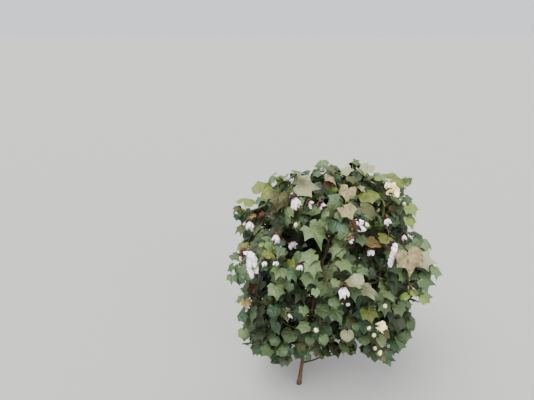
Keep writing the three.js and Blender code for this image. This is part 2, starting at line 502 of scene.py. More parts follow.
def blade(piece, fan, length, base, mid, normal, rays, thick=0.0005, droop=0.5, fold=0.0,
          bulge=0.03, wave=0.03, waves=5.0, phase=0.0, twist=0.0, crumple=0.0, roll=0.0,
          tone=0.0, seed=0, fit=1.45, keep=None):  # fmt: skip
    """Adds one blade. rays are its ray lengths as shares of length; base is where its stalk
    meets it, mid the way its middle points, normal its upper side."""
    mid = unit(mid)
    normal = unit(normal - mid * np.dot(normal, mid))
    side = np.cross(mid, normal)
    a = np.radians(fan.a)
    t = fan.t
    ray = np.concatenate([[1.0], np.tile(rays, fan.nr)])
    r = t * ray
    x0, y0 = r * np.sin(a), r * np.cos(a)
    bend = droop * (0.8 + 0.35 * np.cos(a)) + 1e-4
    rr, z = np.sin(bend * r) / bend, -(1 - np.cos(bend * r)) / bend
    x, y = rr * np.sin(a), rr * np.cos(a)
    z = z + fold * np.abs(x)
    z = z + bulge * np.sin(np.pi * np.minimum(t, 1) ** 0.8) * np.abs(
        np.sin(np.pi * fan.a / 52)
    )
    z = z + wave * t**3 * np.sin(waves * a + phase)
    z = z + twist * x * y
    if roll:  # the sides roll inwards, as a drying leaf's do
        q = roll * x
        x, z = np.sin(q) / roll, z + (1 - np.cos(q)) / abs(roll)
    if crumple:
        p = np.stack([x0, y0, np.full_like(x0, seed * 1.7)], 1)
        z = z + crumple * (noise(p, 0.30, seed) + 0.6 * noise(p, 0.14, seed + 1)) * np.minimum(t * 2, 1)
        x = x + 0.4 * crumple * noise(p, 0.25, seed + 2) * t
        y = y + 0.4 * crumple * noise(p, 0.25, seed + 3) * t
    top = np.stack([x, y, z], 1) * length
    nz = np.stack(
        [np.sin(bend * r) * np.sin(a), np.sin(bend * r) * np.cos(a), np.cos(bend * r)], 1
    )
    low = (top - nz * thick)[fan.low_source]
    local = np.vstack([top, low])
    v = base + local[:, :1] * side + local[:, 1:2] * mid + local[:, 2:] * normal
    if keep is not None:
        v = keep(v)
    flat = np.stack([x0, y0], 1)
    flat = np.vstack([flat, flat[fan.low_source]])
    place = np.clip(np.stack([0.5 + flat[:, 0] / fit, 0.31 + flat[:, 1] / fit], 1), 0, 1)
    nearest = VEINS[np.argmin(np.abs(fan.a[:, None] - VEINS[None]), 1)]
    off = np.radians(np.abs(fan.a - nearest))
    s, d = r * np.cos(off), r * np.sin(off)
    vein = np.stack([s, d, np.full_like(s, tone)], 1)
    vein = np.vstack([vein, vein[fan.low_source]])
    chart = fan.under.astype(int)
    piece.add(v, fan.f, place[fan.f], vein=vein, under=fan.under, rim=fan.rim, chart=chart, charts=2)
    return v


def hold(v):
    """Shifts a blade that would leave the room of the solids or reach the ground."""
    low, high = v.min(0), v.max(0)
    shift = np.zeros(3)
    room_lo, room_hi = LO - 0.012, HI + 0.012
    room_lo[2] = 0.012
    shift = np.where(low < room_lo, room_lo - low, shift)
    shift = np.where(high > room_hi, room_hi - high, shift)
    return v + shift


# ---------------------------------------------------------------- the pieces ------------
KINDS = ["deep", "green", "fresh", "young", "pale", "tan", "russet", "gold", "olive"]
# "inner" leaves are dealt only where the crown is closed up near the stem; their dark colours are painted shade
leaves = {k: Piece("leaves_" + k) for k in [*KINDS, "moss", "inner"]}
stem_piece = Piece("main_stem_bark")
bough_piece = Piece("boughs_bark")
twig_piece = Piece("twigs")
stalk_piece = Piece("leaf_stalks")
lint_piece = Piece("open_boll_lint")
fibre_piece = Piece("lint_fibres")
burr_piece = Piece("open_boll_burrs")
dry_bract_piece = Piece("dry_bracts")
bract_piece = Piece("green_bracts")
boll_piece = Piece("green_bolls")
petal_piece = Piece("flower_petals")


# ---------------------------------------------------------------- what the photo shows --
# Leaves that can be told apart: place and width in the frame, where the tip points (0 is
# down the frame, 90 to its right), how much it faces the viewer, lobe depth, kind, and
# what is special in its shape.
SEEN_LEAVES = [
    # crown, left to right
    (267, 186, 28, 150, 0.85, 0.34, "moss"), (248, 198, 22, 165, 0.50, 0.34, "young"),
    (279, 201, 22, -8, 0.80, 0.12, "olive", dict(fold=0.34, crumple=0.05)),
    (308, 186, 28, 86, 0.88, 0.30, "pale", dict(fold=0.28, droop=0.25)),
    (333, 180, 17, 65, 0.60, 0.34, "tan", dict(crumple=0.12, roll=1.6)),
    (329, 185, 9, 90, 0.80, 0.10, "russet"), (352, 180, 12, 0, 0.60, 0.20, "olive"),
    (347, 195, 19, -12, 0.85, 0.24, "tan", dict(droop=0.5, crumple=0.09, roll=1.3, fold=0.38)),
    (348, 213, 21, 22, 0.70, 0.20, "tan", dict(droop=0.4, crumple=0.08, roll=0.8, fold=0.22)),
    (372, 182, 17, 48, 0.25, 0.10, "pale", dict(fold=0.5)),
    (367, 169, 15, -20, 0.70, 0.20, "pale"), (378, 178, 15, -20, 0.70, 0.30, "fresh"),
    (400, 179, 25, 112, 0.62, 0.32, "moss", dict(back=0.045)), (369, 197, 20, 15, 0.60, 0.10, "moss"),
    (398, 199, 14, 60, 0.45, 0.20, "fresh"), (378, 176, 16, 150, 0.50, 0.30, "young"),
    (371, 211, 25, 50, 0.55, 0.10, "olive", dict(fold=0.40)),
    (412, 210, 16, 20, 0.70, 0.22, "young"), (411, 222, 15, 8, 0.70, 0.20, "young"),
    (252, 216, 9, 0, 0.60, 0.20, "gold"), (260, 216, 12, -60, 0.50, 0.25, "russet"),
    (236, 208, 10, 0, 0.50, 0.20, "olive"), (238, 217, 12, 20, 0.60, 0.30, "deep", dict(back=0.06)),
    (239, 229, 15, -50, 0.50, 0.30, "olive"), (317, 235, 31, 0, 0.46, 0.34, "fresh"),
    (402, 197, 12, 60, 0.50, 0.30, "fresh"), (345, 172, 15, -50, 0.50, 0.20, "pale"),
    (300, 172, 16, 140, 0.40, 0.30, "fresh"), (316, 172, 14, -140, 0.50, 0.30, "green"),
    # middle
    (265, 243, 14, 160, 0.50, 0.36, "young"), (270, 245, 11, 0, 0.60, 0.30, "fresh"),
    (243, 245, 13, -60, 0.40, 0.20, "moss"), (270, 254, 13, 60, 0.50, 0.12, "moss"),
    (306, 257, 23, -60, 0.50, 0.30, "fresh"), (313, 269, 21, 5, 0.75, 0.34, "fresh"),
    (278, 273, 17, -20, 0.60, 0.30, "fresh"), (294, 275, 18, 20, 0.60, 0.28, "green"),
    (277, 292, 19, 0, 0.80, 0.24, "fresh"), (232, 279, 12, -10, 0.60, 0.30, "green"),
    (246, 304, 12, 0, 0.60, 0.30, "gold"), (253, 289, 11, 0, 0.50, 0.20, "russet", dict(back=0.10)),
    (347, 266, 21, 10, 0.45, 0.32, "fresh"), (364, 271, 12, 30, 0.60, 0.16, "green"),
    (335, 283, 11, -30, 0.70, 0.10, "fresh"), (316, 293, 10, 0, 0.80, 0.10, "fresh"),
    (353, 283, 19, -126, 0.70, 0.06, "pale", dict(fold=0.55, droop=0.2, roll=-0.8)),
    (371, 290, 24, 84, 0.50, 0.30, "pale"), (391, 295, 18, 80, 0.32, 0.30, "fresh"),
    (408, 301, 20, 70, 0.36, 0.20, "fresh"), (401, 310, 17, 10, 0.70, 0.20, "fresh"),
    (374, 243, 24, 88, 0.30, 0.10, "gold", dict(droop=0.3)), (389, 238, 20, 60, 0.45, 0.16, "moss"),
    (409, 264, 30, 5, 0.90, 0.27, "tan", dict(droop=0.5, crumple=0.10, roll=0.9, fold=0.30)),
    (426, 260, 25, 62, 0.60, 0.28, "pale"), (425, 299, 11, 40, 0.60, 0.10, "young"),
    (415, 293, 10, 0, 0.60, 0.10, "young"), (403, 296, 11, -60, 0.40, 0.10, "young"),
    (362, 240, 14, 0, 0.70, 0.20, "green"), (413, 247, 13, 30, 0.60, 0.20, "green"),
    (337, 301, 15, 40, 0.50, 0.22, "green"), (236, 257, 13, 30, 0.60, 0.30, "green"),
    # low
    (304, 311, 12, 0, 0.70, 0.20, "fresh"), (325, 311, 18, 50, 0.60, 0.20, "green"),
    (302, 326, 15, -80, 0.50, 0.16, "fresh"), (289, 336, 16, -30, 0.80, 0.07, "fresh"),
    (274, 312, 17, 0, 0.75, 0.22, "deep"), (310, 341, 10, 0, 0.75, 0.05, "green"),
    (324, 340, 12, 5, 0.80, 0.05, "green"), (282, 351, 12, -20, 0.60, 0.06, "green"),
    (308, 358, 8, 0, 0.80, 0.05, "deep"), (244, 335, 14, 0, 0.80, 0.10, "fresh"),
    (338, 315, 20, 20, 0.60, 0.22, "green"), (348, 337, 14, 4, 0.90, 0.02, "pale", dict(fold=0.05)),
    (365, 341, 12, 0, 0.80, 0.05, "fresh"), (383, 341, 13, 30, 0.70, 0.08, "fresh"),
    (357, 327, 9, 0, 0.60, 0.05, "green"), (370, 316, 17, 5, 0.75, 0.24, "moss"),
    (383, 357, 11, 20, 0.60, 0.10, "olive"),
    (243, 318, 13, 20, 0.60, 0.26, "deep"),
]  # fmt: skip

# Open bolls: place in the frame, which way the lint comes out (0 down, 90 to the right),
# how much it comes towards the viewer, share of its lint, how far that hangs (m), scale, and
# the husk's colour, from -1, dark purple, to 1, red-brown.
SEEN_BOLLS = [
    (295, 199, 28, 0.35, 1.0, 0.018, 0.74, -0.7), (310, 203, 70, 0.30, 0.7, 0.006, 0.68, -1.0),
    (321, 204, 60, -0.05, 0.5, 0.003, 0.68, -1.0), (250, 223, -10, 0.45, 1.1, 0.010, 0.78, -0.3),
    (277, 236, -35, 0.35, 0.8, 0.010, 0.78, 0.5), (292, 243, 40, 0.45, 1.1, 0.006, 0.80, 0.0),
    (305, 244, 10, 0.30, 0.8, 0.004, 0.46, 0.0), (357, 225, 100, -0.40, 1.0, 0.004, 1.0, -1.0),
    (351, 239, 40, -0.10, 0.6, 0.003, 0.62, 0.9), (371, 250, 0, 0.15, 0.8, 0.008, 0.58, 1.0),
    (344, 288, 5, 0.40, 1.0, 0.016, 0.66, 0.3), (348, 303, 0, 0.40, 0.8, 0.003, 0.42, 0.0),
    (289, 315, 70, 0.45, 0.6, 0.003, 0.60, 0.3), (387, 220, 20, 0.60, 1.0, 0.004, 0.60, -0.5),
    (404, 236, 10, 0.50, 0.7, 0.005, 0.56, -0.5), (300, 266, 0, 0.50, 1.0, 0.003, 0.46, -0.2),
    (276, 262, 0, 0.50, 0.8, 0.003, 0.46, -0.2), (264, 262, 20, 0.40, 0.9, 0.004, 0.46, -0.4),
]  # fmt: skip
# Lint that hangs right out of its burr, pulled into strings by its own weight: place of the
# burr and its colour, then each string as places in the frame with its width there.
SEEN_HANGING = [
    (245, 254, 1.0, [
        [(250.0, 251.5, 4.0), (249.8, 256, 6.2), (249.4, 262, 6.8), (249.6, 268, 6.0), (250.6, 274, 4.8), (251.6, 281, 3.4)],
        [(252.2, 253, 3.4), (253.6, 258, 5.2), (254.4, 263, 5.6), (255.6, 269, 5.0), (256.8, 275.5, 3.8)],
    ]),
    (393, 246, -0.6, [[(394.0, 246, 3.8), (394.3, 250, 5.8), (394.2, 256, 6.0), (393.6, 262, 5.2), (392.6, 269, 3.4)]]),
]  # fmt: skip
SEEN_FLOWERS = [(391, 191, 1.05, 0.9), (380, 327, 0.80, 0.5)]  # place, scale, how far open
SEEN_BUDS = [(296, 225, 1.0), (316, 330, 1.0), (367, 225, 0.8), (404, 204, 0.9), (374, 335, 0.9),
             (369, 328, 0.8), (375, 348, 1.0), (380, 353, 0.9), (385, 306, 0.9)]  # fmt: skip
# Twigs that cross the leaves in plain view: heights of their feet on the stem, then places.
SEEN_TWIGS = [
    (0.965, [(312, 182, 0.10), (296, 192, 0.06), (283, 200, 0.014), (272, 211, 0.006), (258, 226, 0.004), (249, 238, 0.006), (247, 248, 0.004)]),
    (0.640, [(339, 252, 0.012), (348, 248, 0.012), (361, 246, 0.012), (378, 244, 0.012), (391, 243, 0.012)]),
]
# Where the stem shows between the leaves.
SEEN_STEM = [(324, 238), (323, 244), (322, 250), (321, 256), (320, 262), (313, 297), (312, 303),
             (311, 309), (310, 315), (309, 321), (305, 340), (304, 346), (303, 352), (302, 358),
             (301, 364), (300, 370), (300, 376)]  # fmt: skip
# Hollows of the crown, where only shaded leaves far back show: place and half width.
SEEN_SHADE = [
    (366, 262, 8), (373, 269, 12), (382, 276, 7), (251, 292, 9), (252, 302, 8), (262, 277, 6), (298, 289, 7),
    (256, 326, 7), (263, 316, 5), (343, 275, 6), (325, 321, 5), (286, 303, 4), (300, 337, 4), (336, 345, 8),
    (355, 344, 5), (262, 340, 8), (380, 231, 4), (412, 283, 5),
]  # fmt: skip
# Below this line of the frame, from left to right, the plant has no leaves.
HEM = ([228, 245, 262, 276, 290, 300, 309, 318, 336, 352, 366, 378, 390, 398, 406, 420, 436],
       [340, 349, 357, 366, 369, 367, 365, 357, 357, 354, 356, 364, 366, 358, 345, 328, 314])  # fmt: skip


def front(px, py, depth_in):
    """The first mass that the camera meets at a place in its frame, and a point in it."""
    d = sight(px, py)
    best = None
    for m in masses:
        hit = m.tree.ray_cast(Vector(CAM), Vector(d))
        if hit[0] is not None and (best is None or hit[3] < best[0]):
            best = (hit[3], m)
    if best:
        return best[1], CAM + d * (best[0] + depth_in)
    # between the masses: as near as the closest of them reach there
    near = [float(np.dot(m.centre - CAM, d)) for m in masses]
    gap = [float(np.linalg.norm(m.centre - CAM - n * d)) / m.half[1] for m, n in zip(masses, near)]
    for m, n, g in zip(masses, near, gap):
        at = n - m.half[1] * 0.35 * min(1.0, max(0.0, 1.8 - g) / 0.8)
        if g < min(gap) + 0.20 and (best is None or at < best[0]):
            best = (at, m)
    return best[1], CAM + d * (best[0] + depth_in)


def frame_way(turn, facing, lean=0.0):
    """A blade's middle direction and upper side, from how it looks in the frame: facing is the
    share of its length that foreshortening leaves, lean turns that towards a side."""
    a = math.radians(turn)
    rest = math.sqrt(max(0.0, 1 - facing * facing))
    normal = unit(-AHEAD * facing + (ABOVE * math.cos(lean) + RIGHT * math.sin(lean)) * rest)
    mid = -ABOVE * math.cos(a) + RIGHT * math.sin(a)
    mid = unit(mid - normal * mid.dot(normal))
    return mid, normal


def below_hem(p, size):
    x, y, depth = (float(w[0]) for w in seen_at(p))
    room = 0.45 * size * FOCAL / depth
    return y + room > np.interp(x, *HEM) or x - room < np.interp(y, [285, 315, 345], [222, 232, 244])


def in_shade(p):
    """Whether a point shows in one of the crown's hollows."""
    x, y, _ = (float(w[0]) for w in seen_at(p))
    return any((x - sx) ** 2 + (y - sy) ** 2 < (wide + 2) ** 2 for sx, sy, wide in SEEN_SHADE)


fruits = []  # what hangs on the twigs: dicts with kind, pos, mass
shield = []  # places in the frame kept clear of the filling leaves: x, y, radius, depth
taken = []  # centres of the leaves placed so far, with a radius

for px, py, turn, facing, share, sag, scale, hue in SEEN_BOLLS:
    m, p = front(px, py, -0.004)
    a = math.radians(turn)
    axis = unit((RIGHT * math.sin(a) - ABOVE * math.cos(a)) * (1 - facing * 0.6) - AHEAD * facing)
    fruits.append(dict(kind="open", pos=p, mass=m, lint=share, sag=sag, axis=axis, scale=scale, hue=hue))
    shield.append((px, py + 2, 7.5 * scale, float(seen_at(p)[2][0])))
for px, py, hue, strings in SEEN_HANGING:
    m, p = front(px, py, -0.028)
    near = float(seen_at(p)[2][0])
    axis = unit(-AHEAD * 0.7 - UP * 0.4 + RIGHT * (0.5 if hue > 0 else 0.1))
    lines = []
    for string in strings:
        places = np.array([CAM + sight(x, y) * near / sight(x, y).dot(AHEAD) for x, y, _ in string])
        # plumb below its top, whatever the slope of the crown
        for i, (x, y, _) in enumerate(string):
            fall = (y - string[0][1]) * near / FOCAL / math.cos(PITCH)
            places[i] = places[0] + RIGHT * (x - string[0][0]) * near / FOCAL - UP * fall
            shield.append((x, y, 5.5, near))
        lines.append((places, np.array([w for _, _, w in string]) * near / FOCAL))
    fruits.append(dict(kind="hanging", pos=p, mass=m, lint=1.0, axis=axis, scale=0.8, hue=hue, lines=lines))
for px, py, scale, wide in SEEN_FLOWERS:
    m, p = front(px, py, -0.018)
    axis = unit(UP * 0.5 - AHEAD * 0.9 + RIGHT * 0.15)
    fruits.append(dict(kind="flower", pos=p, mass=m, axis=axis, scale=scale, wide=wide))
    shield.append((px, py, 7, float(seen_at(p)[2][0])))
for px, py, scale in SEEN_BUDS:
    m, p = front(px, py, 0.004)
    fruits.append(dict(kind="bud", pos=p, mass=m, axis=unit(UP * 0.7 - AHEAD * 0.5 + rng.normal(size=3) * 0.3),
                       scale=scale))  # fmt: skip
    shield.append((px, py, 5, float(seen_at(p)[2][0])))

for px, py, wide, turn, facing, depth, kind, *more in SEEN_LEAVES:
    shape = dict(more[0]) if more else {}
    m, p = front(px, py, shape.pop("back", 0.012))
    dist = float(seen_at(p)[2][0])
    size = wide * dist / FOCAL / 1.40
    mid, normal = frame_way(turn, facing, rng.uniform(-0.35, 0.35))
    base = p - mid * size * 0.38
    m.targets.append(dict(base=base, mid=mid, normal=normal, size=size, depth=depth, kind=kind,
                          seen=True, shape=shape))  # fmt: skip
    taken.append((p, size * 0.9))
    shield.append((px, py, wide * 0.42, dist - 0.01))

for px, py in SEEN_STEM:
    shield.append((px, py, 5.0 if py > 330 else 3.0, float(seen_at(stem_point(0.5))[2][0])))
for px, py, wide in SEEN_SHADE:
    m, p = front(px, py, 0.0)
    shield.append((px, py, max(wide - 5.0, 0.5), float(seen_at(p)[2][0]) + 0.10))
twig_paths = []
for z, places in SEEN_TWIGS:
    points = [stem_point(z)]
    for px, py, inward in places:
        m, p = front(px, py, inward)
        points.append(p)
    line = np.array(points)
    run = np.concatenate([[0], np.cumsum(np.linalg.norm(np.diff(line, axis=0), axis=1))])
    fine = np.linspace(0, run[-1], int(run[-1] / 0.004))
    line = np.stack([np.interp(fine, run, line[:, k]) for k in range(3)], 1)
    for _ in range(60):
        line[1:-1] = (line[:-2] + 2 * line[1:-1] + line[2:]) / 4
    twig_paths.append((line, fine, m))
    x, y, depth = seen_at(line)
    for k in range(len(line) // 3, len(line), 3):
        shield.append((float(x[k]), float(y[k]), 1.5, float(depth[k])))

# ---------------------------------------------------------------- filling leaves --------
TO_EYE = unit((CAM - vec(0.09, 0, 0.6)) * vec(1, 1, 0))


def in_front(p):
    """Whether a place is on the photographed side, where the photo says what is there."""
    return float((p - stem_point(float(np.clip(p[2], 0, STEM_TOP)))).dot(TO_EYE)) > 0.02


def deal_kind(r, tier, p):
    """A leaf's colour: the odd ones, dead or turning, are placed by the photo in front."""
    chance = np.array(CHANCE[tier], float)
    if in_front(p):
        chance[4:] *= vec(0, 0, 0, 0, 0.5)
    return str(r.choice(KINDS, p=chance / chance.sum()))


COUNT = {"low": 25, "mid": 34, "high": 34, "top": 27, "tip": 20}
CHANCE = {
    "low": [0.50, 0.36, 0.06, 0.0, 0.02, 0.01, 0.01, 0.01, 0.03],
    "mid": [0.34, 0.41, 0.13, 0.01, 0.03, 0.01, 0.01, 0.01, 0.05],
    "high": [0.15, 0.38, 0.26, 0.05, 0.045, 0.02, 0.015, 0.01, 0.07],
    "top": [0.03, 0.27, 0.36, 0.18, 0.05, 0.025, 0.015, 0.01, 0.06],
    "tip": [0.0, 0.10, 0.36, 0.46, 0.02, 0.01, 0.01, 0.0, 0.04],
}
SPAN = {"low": (0.032, 0.052), "mid": (0.036, 0.058), "high": (0.036, 0.058),
        "top": (0.030, 0.050), "tip": (0.018, 0.036)}  # fmt: skip

for m in masses:
    want, tries = COUNT[m.tier], 0
    have = len(m.targets)
    axis = stem_point(float(np.clip(m.centre[2], 0, STEM_TOP)))
    while have < want and tries < 1500:
        tries += 1
        d = unit(rng.normal(size=3) * vec(1, 1, 0.85) + vec(0, 0, 0.15))
        far = m.reach(d)
        if far is None:
            continue
        size = rng.uniform(*SPAN[m.tier])
        f = 1 - abs(rng.normal()) * 0.30 if rng.uniform() < 0.72 else rng.uniform(0.3, 0.8)
        if f < 0.15:
            continue
        p = m.centre + d * max(far - size * 0.42, 0.01) * f
        if not m.inside(p) or p[2] < 0.205 or below_hem(p, size):
            continue
        gap = (0.032 if m.tier != "tip" else 0.022) * (1 - 0.35 * tries / 1500)
        if any(np.linalg.norm(p - q) < gap for q, _ in taken):
            continue
        x, y, z = (float(w[0]) for w in seen_at(p))
        rad = size * 0.62 * FOCAL / z
        if any(
            z < sz + 0.02 and (x - sx) ** 2 + (y - sy) ** 2 < (sr + rad) ** 2
            for sx, sy, sr, sz in shield
        ):
            continue
        out = (p - axis) * vec(1, 1, 0)
        out = unit(out + (p - m.centre) * 0.7 + rng.normal(size=3) * 0.02)
        low_side = d[2] < -0.2
        normal = unit(out * rng.uniform(0.35, 1.1) + UP * (0.45 if low_side else rng.uniform(0.5, 1.3)) + rng.normal(size=3) * 0.34)
        mid = unit(out * 0.55 - UP * rng.uniform(0.2, 1.0) + rng.normal(size=3) * 0.5)
        # leaves that show in the crown's hollows get the dark "inner" colours: painted shade
        kind = "inner" if in_front(p) and in_shade(p) else deal_kind(rng, m.tier, p)
        mid = unit(mid - normal * mid.dot(normal))
        m.targets.append(
            dict(base=p - mid * size * 0.38, mid=mid, normal=normal, size=size,
                 depth=rng.uniform(0.16, 0.38) if m.tier != "low" else rng.uniform(0.03, 0.28),
                 kind=kind, seen=False)
        )  # fmt: skip
        taken.append((p, size))
        have += 1

# ---------------------------------------------------------------- stem and boughs -------
SWELL = [t["attach"][0] + t["attach"][1] * i for t in TIERS for i in range(len(t["az"]))]
SWELL += [0.045, 0.088, 0.930, 0.955, 0.980, 1.0, 1.02, 1.04]


def stem_mesh():
    rings, sides = 440, 48
    z = np.concatenate([np.linspace(0, 0.06, 60), np.linspace(0.06, STEM_TOP, rings - 59)[1:]])
    path = np.array([stem_point(h) for h in z])
    r = np.array([stem_radius(h) for h in z])
    ang = np.arange(sides) / sides * TAU
    a, h = np.meshgrid(ang, z)
    wind = a + 1.2 * h  # the grain winds slowly round the stem
    grain = np.stack([np.cos(wind) * 0.9, np.sin(wind) * 0.9, h * 7], -1)
    fine = np.stack([np.cos(wind) * 2.4, np.sin(wind) * 2.4, h * 16], -1)
    spots = np.stack([np.cos(wind) * 2.6, np.sin(wind) * 2.6, h * 260], -1)
    fade = np.interp(h, [0, 0.35, 0.8, STEM_TOP], [1.0, 0.8, 0.5, 0.3])
    ridge = 1 - np.abs(noise(grain, 0.34, 3)) * 2
    crack = 1 - np.abs(noise(fine, 0.46, 7)) * 2.2
    relief = fade * (0.085 * ridge - 0.075 * np.clip(crack, 0, 1) ** 3 + 0.03 * noise(fine, 0.5, 17))
    relief += 0.09 * np.clip(noise(spots, 0.55, 31) - 0.45, 0, 1)  # raised breathing pores
    relief += 0.09 * np.exp(-h / 0.020) * np.cos(5 * a + 0.4)
    relief += 0.05 * np.exp(-h / 0.012) * noise(grain, 0.25, 9)
    for k, s in enumerate(SWELL):
        relief += 0.16 * np.exp(-(((h - s) / 0.006) ** 2)) * (0.7 + 0.3 * np.cos(a - k * 2.4))
        relief += 0.10 * np.exp(-(((h - s + 0.010) / 0.0022) ** 2)) * np.maximum(
            np.cos(a - k * 2.4), 0
        )
    tube(stem_piece, path, r, sides, relief=relief, along=z / STEM_TOP, level=0.0)


stem_mesh()

nodes = []  # places on boughs and twigs where something may grow: point, direction, mass


def bough_mesh(m, index):
    line = m.line.copy()
    t, n, b = travel(line)
    run = np.concatenate([[0], np.cumsum(np.linalg.norm(np.diff(line, axis=0), axis=1))])
    total = run[-1]
    # a slight zigzag from joint to joint
    step = 0.045
    zig = np.sin(run / step * math.pi + index) * 0.0022 * np.clip(run / 0.08, 0, 1)
    line = line + n * zig[:, None] + b * (0.6 * zig * math.cos(index))[:, None]
    fine = np.linspace(0, total, int(total / 0.0031))
    line = np.stack([np.interp(fine, run, line[:, k]) for k in range(3)], 1)
    for _ in range(6):
        line[1:-1] = (line[:-2] + 2 * line[1:-1] + line[2:]) / 4
    r = np.interp(fine, run, m.radii)
    r = r * (1 + 0.55 * np.exp(-fine / 0.008))
    knots = np.arange(step, total, step)
    for s in knots:
        r = r * (1 + 0.24 * np.exp(-(((fine - s) / 0.0035) ** 2)))
    sides = 11
    a, h = np.meshgrid(np.arange(sides) / sides * TAU, fine)
    grain = np.stack([np.cos(a) * 0.9, np.sin(a) * 0.9, h * 12 + index], -1)
    spots = np.stack([np.cos(a) * 1.6, np.sin(a) * 1.6, h * 200 + index], -1)
    relief = 0.09 * (1 - np.abs(noise(grain, 0.5, 20 + index)) * 2) + 0.03 * noise(grain, 0.2, 5)
    relief += 0.14 * np.clip(noise(spots, 0.7, 40 + index) - 0.45, 0, 1)
    tube(bough_piece, line, r, sides, relief=relief, along=fine / total, tone=rng.uniform(-1, 1))
    m.path, m.run, m.width = line, fine, r
    for s in knots:
        k = int(np.searchsorted(fine, s))
        nodes.append((line[min(k, len(line) - 1)], unit(line[min(k + 1, len(line) - 1)] - line[k - 1]), m))


for index, m in enumerate(masses):
    if m.bough:
        bough_mesh(m, index)
    else:
        m.path, m.run = m.line, np.linspace(0, 0.13, len(m.line))
        for z in (0.955, 0.98, 1.0, 1.02, 1.04):
            nodes.append((stem_point(z), UP, m))


for index, (line, run, m) in enumerate(twig_paths):
    t, n, b = travel(line)
    zig = 0.0012 * np.sin(run / 0.028 * math.pi) * np.clip(run / 0.06, 0, 1)
    line = line + n * zig[:, None]
    r = np.linspace(0.0018, 0.0012, len(line)) * (1 + 0.4 * np.exp(-run / 0.008))
    for knot in np.arange(0.045, run[-1], 0.045):
        r = r * (1 + 0.3 * np.exp(-(((run - knot) / 0.004) ** 2)))
        k = int(np.searchsorted(run, knot))
        if knot > 0.10:
            nodes.append((line[k], t[k], m))
    tube(bough_piece, line, r, 10, along=run / run[-1], tone=0.3)
    nodes.append((line[-1], t[-1], m))


# ---------------------------------------------------------------- twigs -----------------
def clusters(points, k, r):
    """Groups points by nearness, the same way each run."""
    c = points[r.choice(len(points), k, replace=False)]
    for _ in range(12):
        near = np.argmin(np.linalg.norm(points[:, None] - c[None], axis=2), 1)
        c = np.array([points[near == j].mean(0) if (near == j).any() else c[j] for j in range(k)])
    return near, c


def twig(start, heading, end, r0, r1, m, sway=0.0018):
    """A zigzag twig with a joint every few centimetres, from a bough to its leaves."""
    span = np.linalg.norm(end - start)
    control = start + heading * span * 0.38 + (end - start) * 0.22 + UP * span * 0.06
    n = max(7, int(span / 0.006))
    line = bezier(start, control, end, n)
    t, a, b = travel(line)
    run = np.concatenate([[0], np.cumsum(np.linalg.norm(np.diff(line, axis=0), axis=1))])
    step = 0.030
    line = line + a * (sway * np.sin(run / step * math.pi) * np.clip(run / 0.03, 0, 1))[:, None]
    r = np.linspace(r0, r1, n)
    knots = np.arange(step * 0.8, run[-1] + 1e-6, step)
    for s in knots:
        r = r * (1 + 0.30 * np.exp(-(((run - s) / 0.004) ** 2)))
    tube(twig_piece, line, r, 8, along=run / run[-1], tone=rng.uniform(-1, 1))
    out = []
    for s in list(knots) + [run[-1]]:
        k = min(int(np.searchsorted(run, s)), n - 1)
        out.append((line[k], unit(line[k] - line[max(k - 1, 0)]), m))
    nodes.extend(out)
    return out


def stalk(start, end, arrive, length, tone, r0=0.00135, r1=0.00095, leave=None, rings=8):
    """A leaf's long stalk: leaves its joint, arches and meets the blade from below."""
    leave = unit(end - start + UP * 0.4 * length) if leave is None else leave
    p1 = start + leave * length * 0.38
    p2 = end - arrive * length * 0.34
    t = np.linspace(0, 1, rings)[:, None]
    line = (
        start * (1 - t) ** 3 + 3 * p1 * t * (1 - t) ** 2 + 3 * p2 * t * t * (1 - t) + end * t**3
    )
    r = np.linspace(r0, r1, rings)
    r[0] *= 1.5
    r[-1] *= 1.25
    tube(stalk_piece, line, r, 5, along=np.linspace(0, 1, rings), tone=tone)


def grow_leaf(target, from_node):
    size, kind = target["size"], target["kind"]
    dry = kind in ("tan", "russet")
    tone = float(rng.uniform(-1, 1))
    if kind == "inner":
        fan = INNER_LEAF
    elif dry or (target["seen"] and kind in ("pale", "gold")):
        fan = OLD_LEAF
    elif target["seen"]:
        fan = LEAF
    else:
        fan = WIDE_LEAF if size > 0.044 and not target.get("plain") else SMALL_LEAF
    uneven = (rng.uniform(-0.07, 0.07), rng.uniform(0, 0.06), rng.uniform(0, TAU))
    rays = leaf_outline(fan.phi, target["depth"], broad=rng.uniform(0.86, 1.08), uneven=uneven)
    shape = dict(
        droop=rng.uniform(0.25, 1.05), fold=rng.uniform(-0.14, 0.24),
        bulge=rng.uniform(0.02, 0.055), wave=rng.uniform(0.015, 0.065),
        waves=float(rng.integers(4, 8)), phase=rng.uniform(0, TAU), twist=rng.uniform(-0.25, 0.25),
    )  # fmt: skip
    if kind == "pale":
        shape.update(fold=rng.uniform(0.12, 0.34), crumple=0.035, seed=int(rng.integers(1, 900)))
    if kind in ("gold", "olive"):
        shape.update(crumple=0.04, seed=int(rng.integers(1, 900)))
    if dry:
        shape.update(
            droop=rng.uniform(0.6, 1.3), crumple=rng.uniform(0.06, 0.11), wave=0.07,
            fold=rng.uniform(0.1, 0.5), roll=rng.uniform(0.9, 1.9), seed=int(rng.integers(1, 900)),
        )  # fmt: skip
    shape.update(target.get("shape", {}))
    v = blade(leaves[kind], fan, size, target["base"], target["mid"], target["normal"], rays,
              tone=tone, keep=hold, **shape)  # fmt: skip
    base = v[0]
    start, way, _ = from_node
    span = float(np.linalg.norm(base - start))
    arrive = unit(target["normal"] * 0.75 + target["mid"] * 0.45)
    leave = unit(unit(base - start) + way * 0.35 + UP * 0.45)
    stalk(start, base, arrive, span, tone, leave=leave, rings=6 if kind == "inner" else 8)


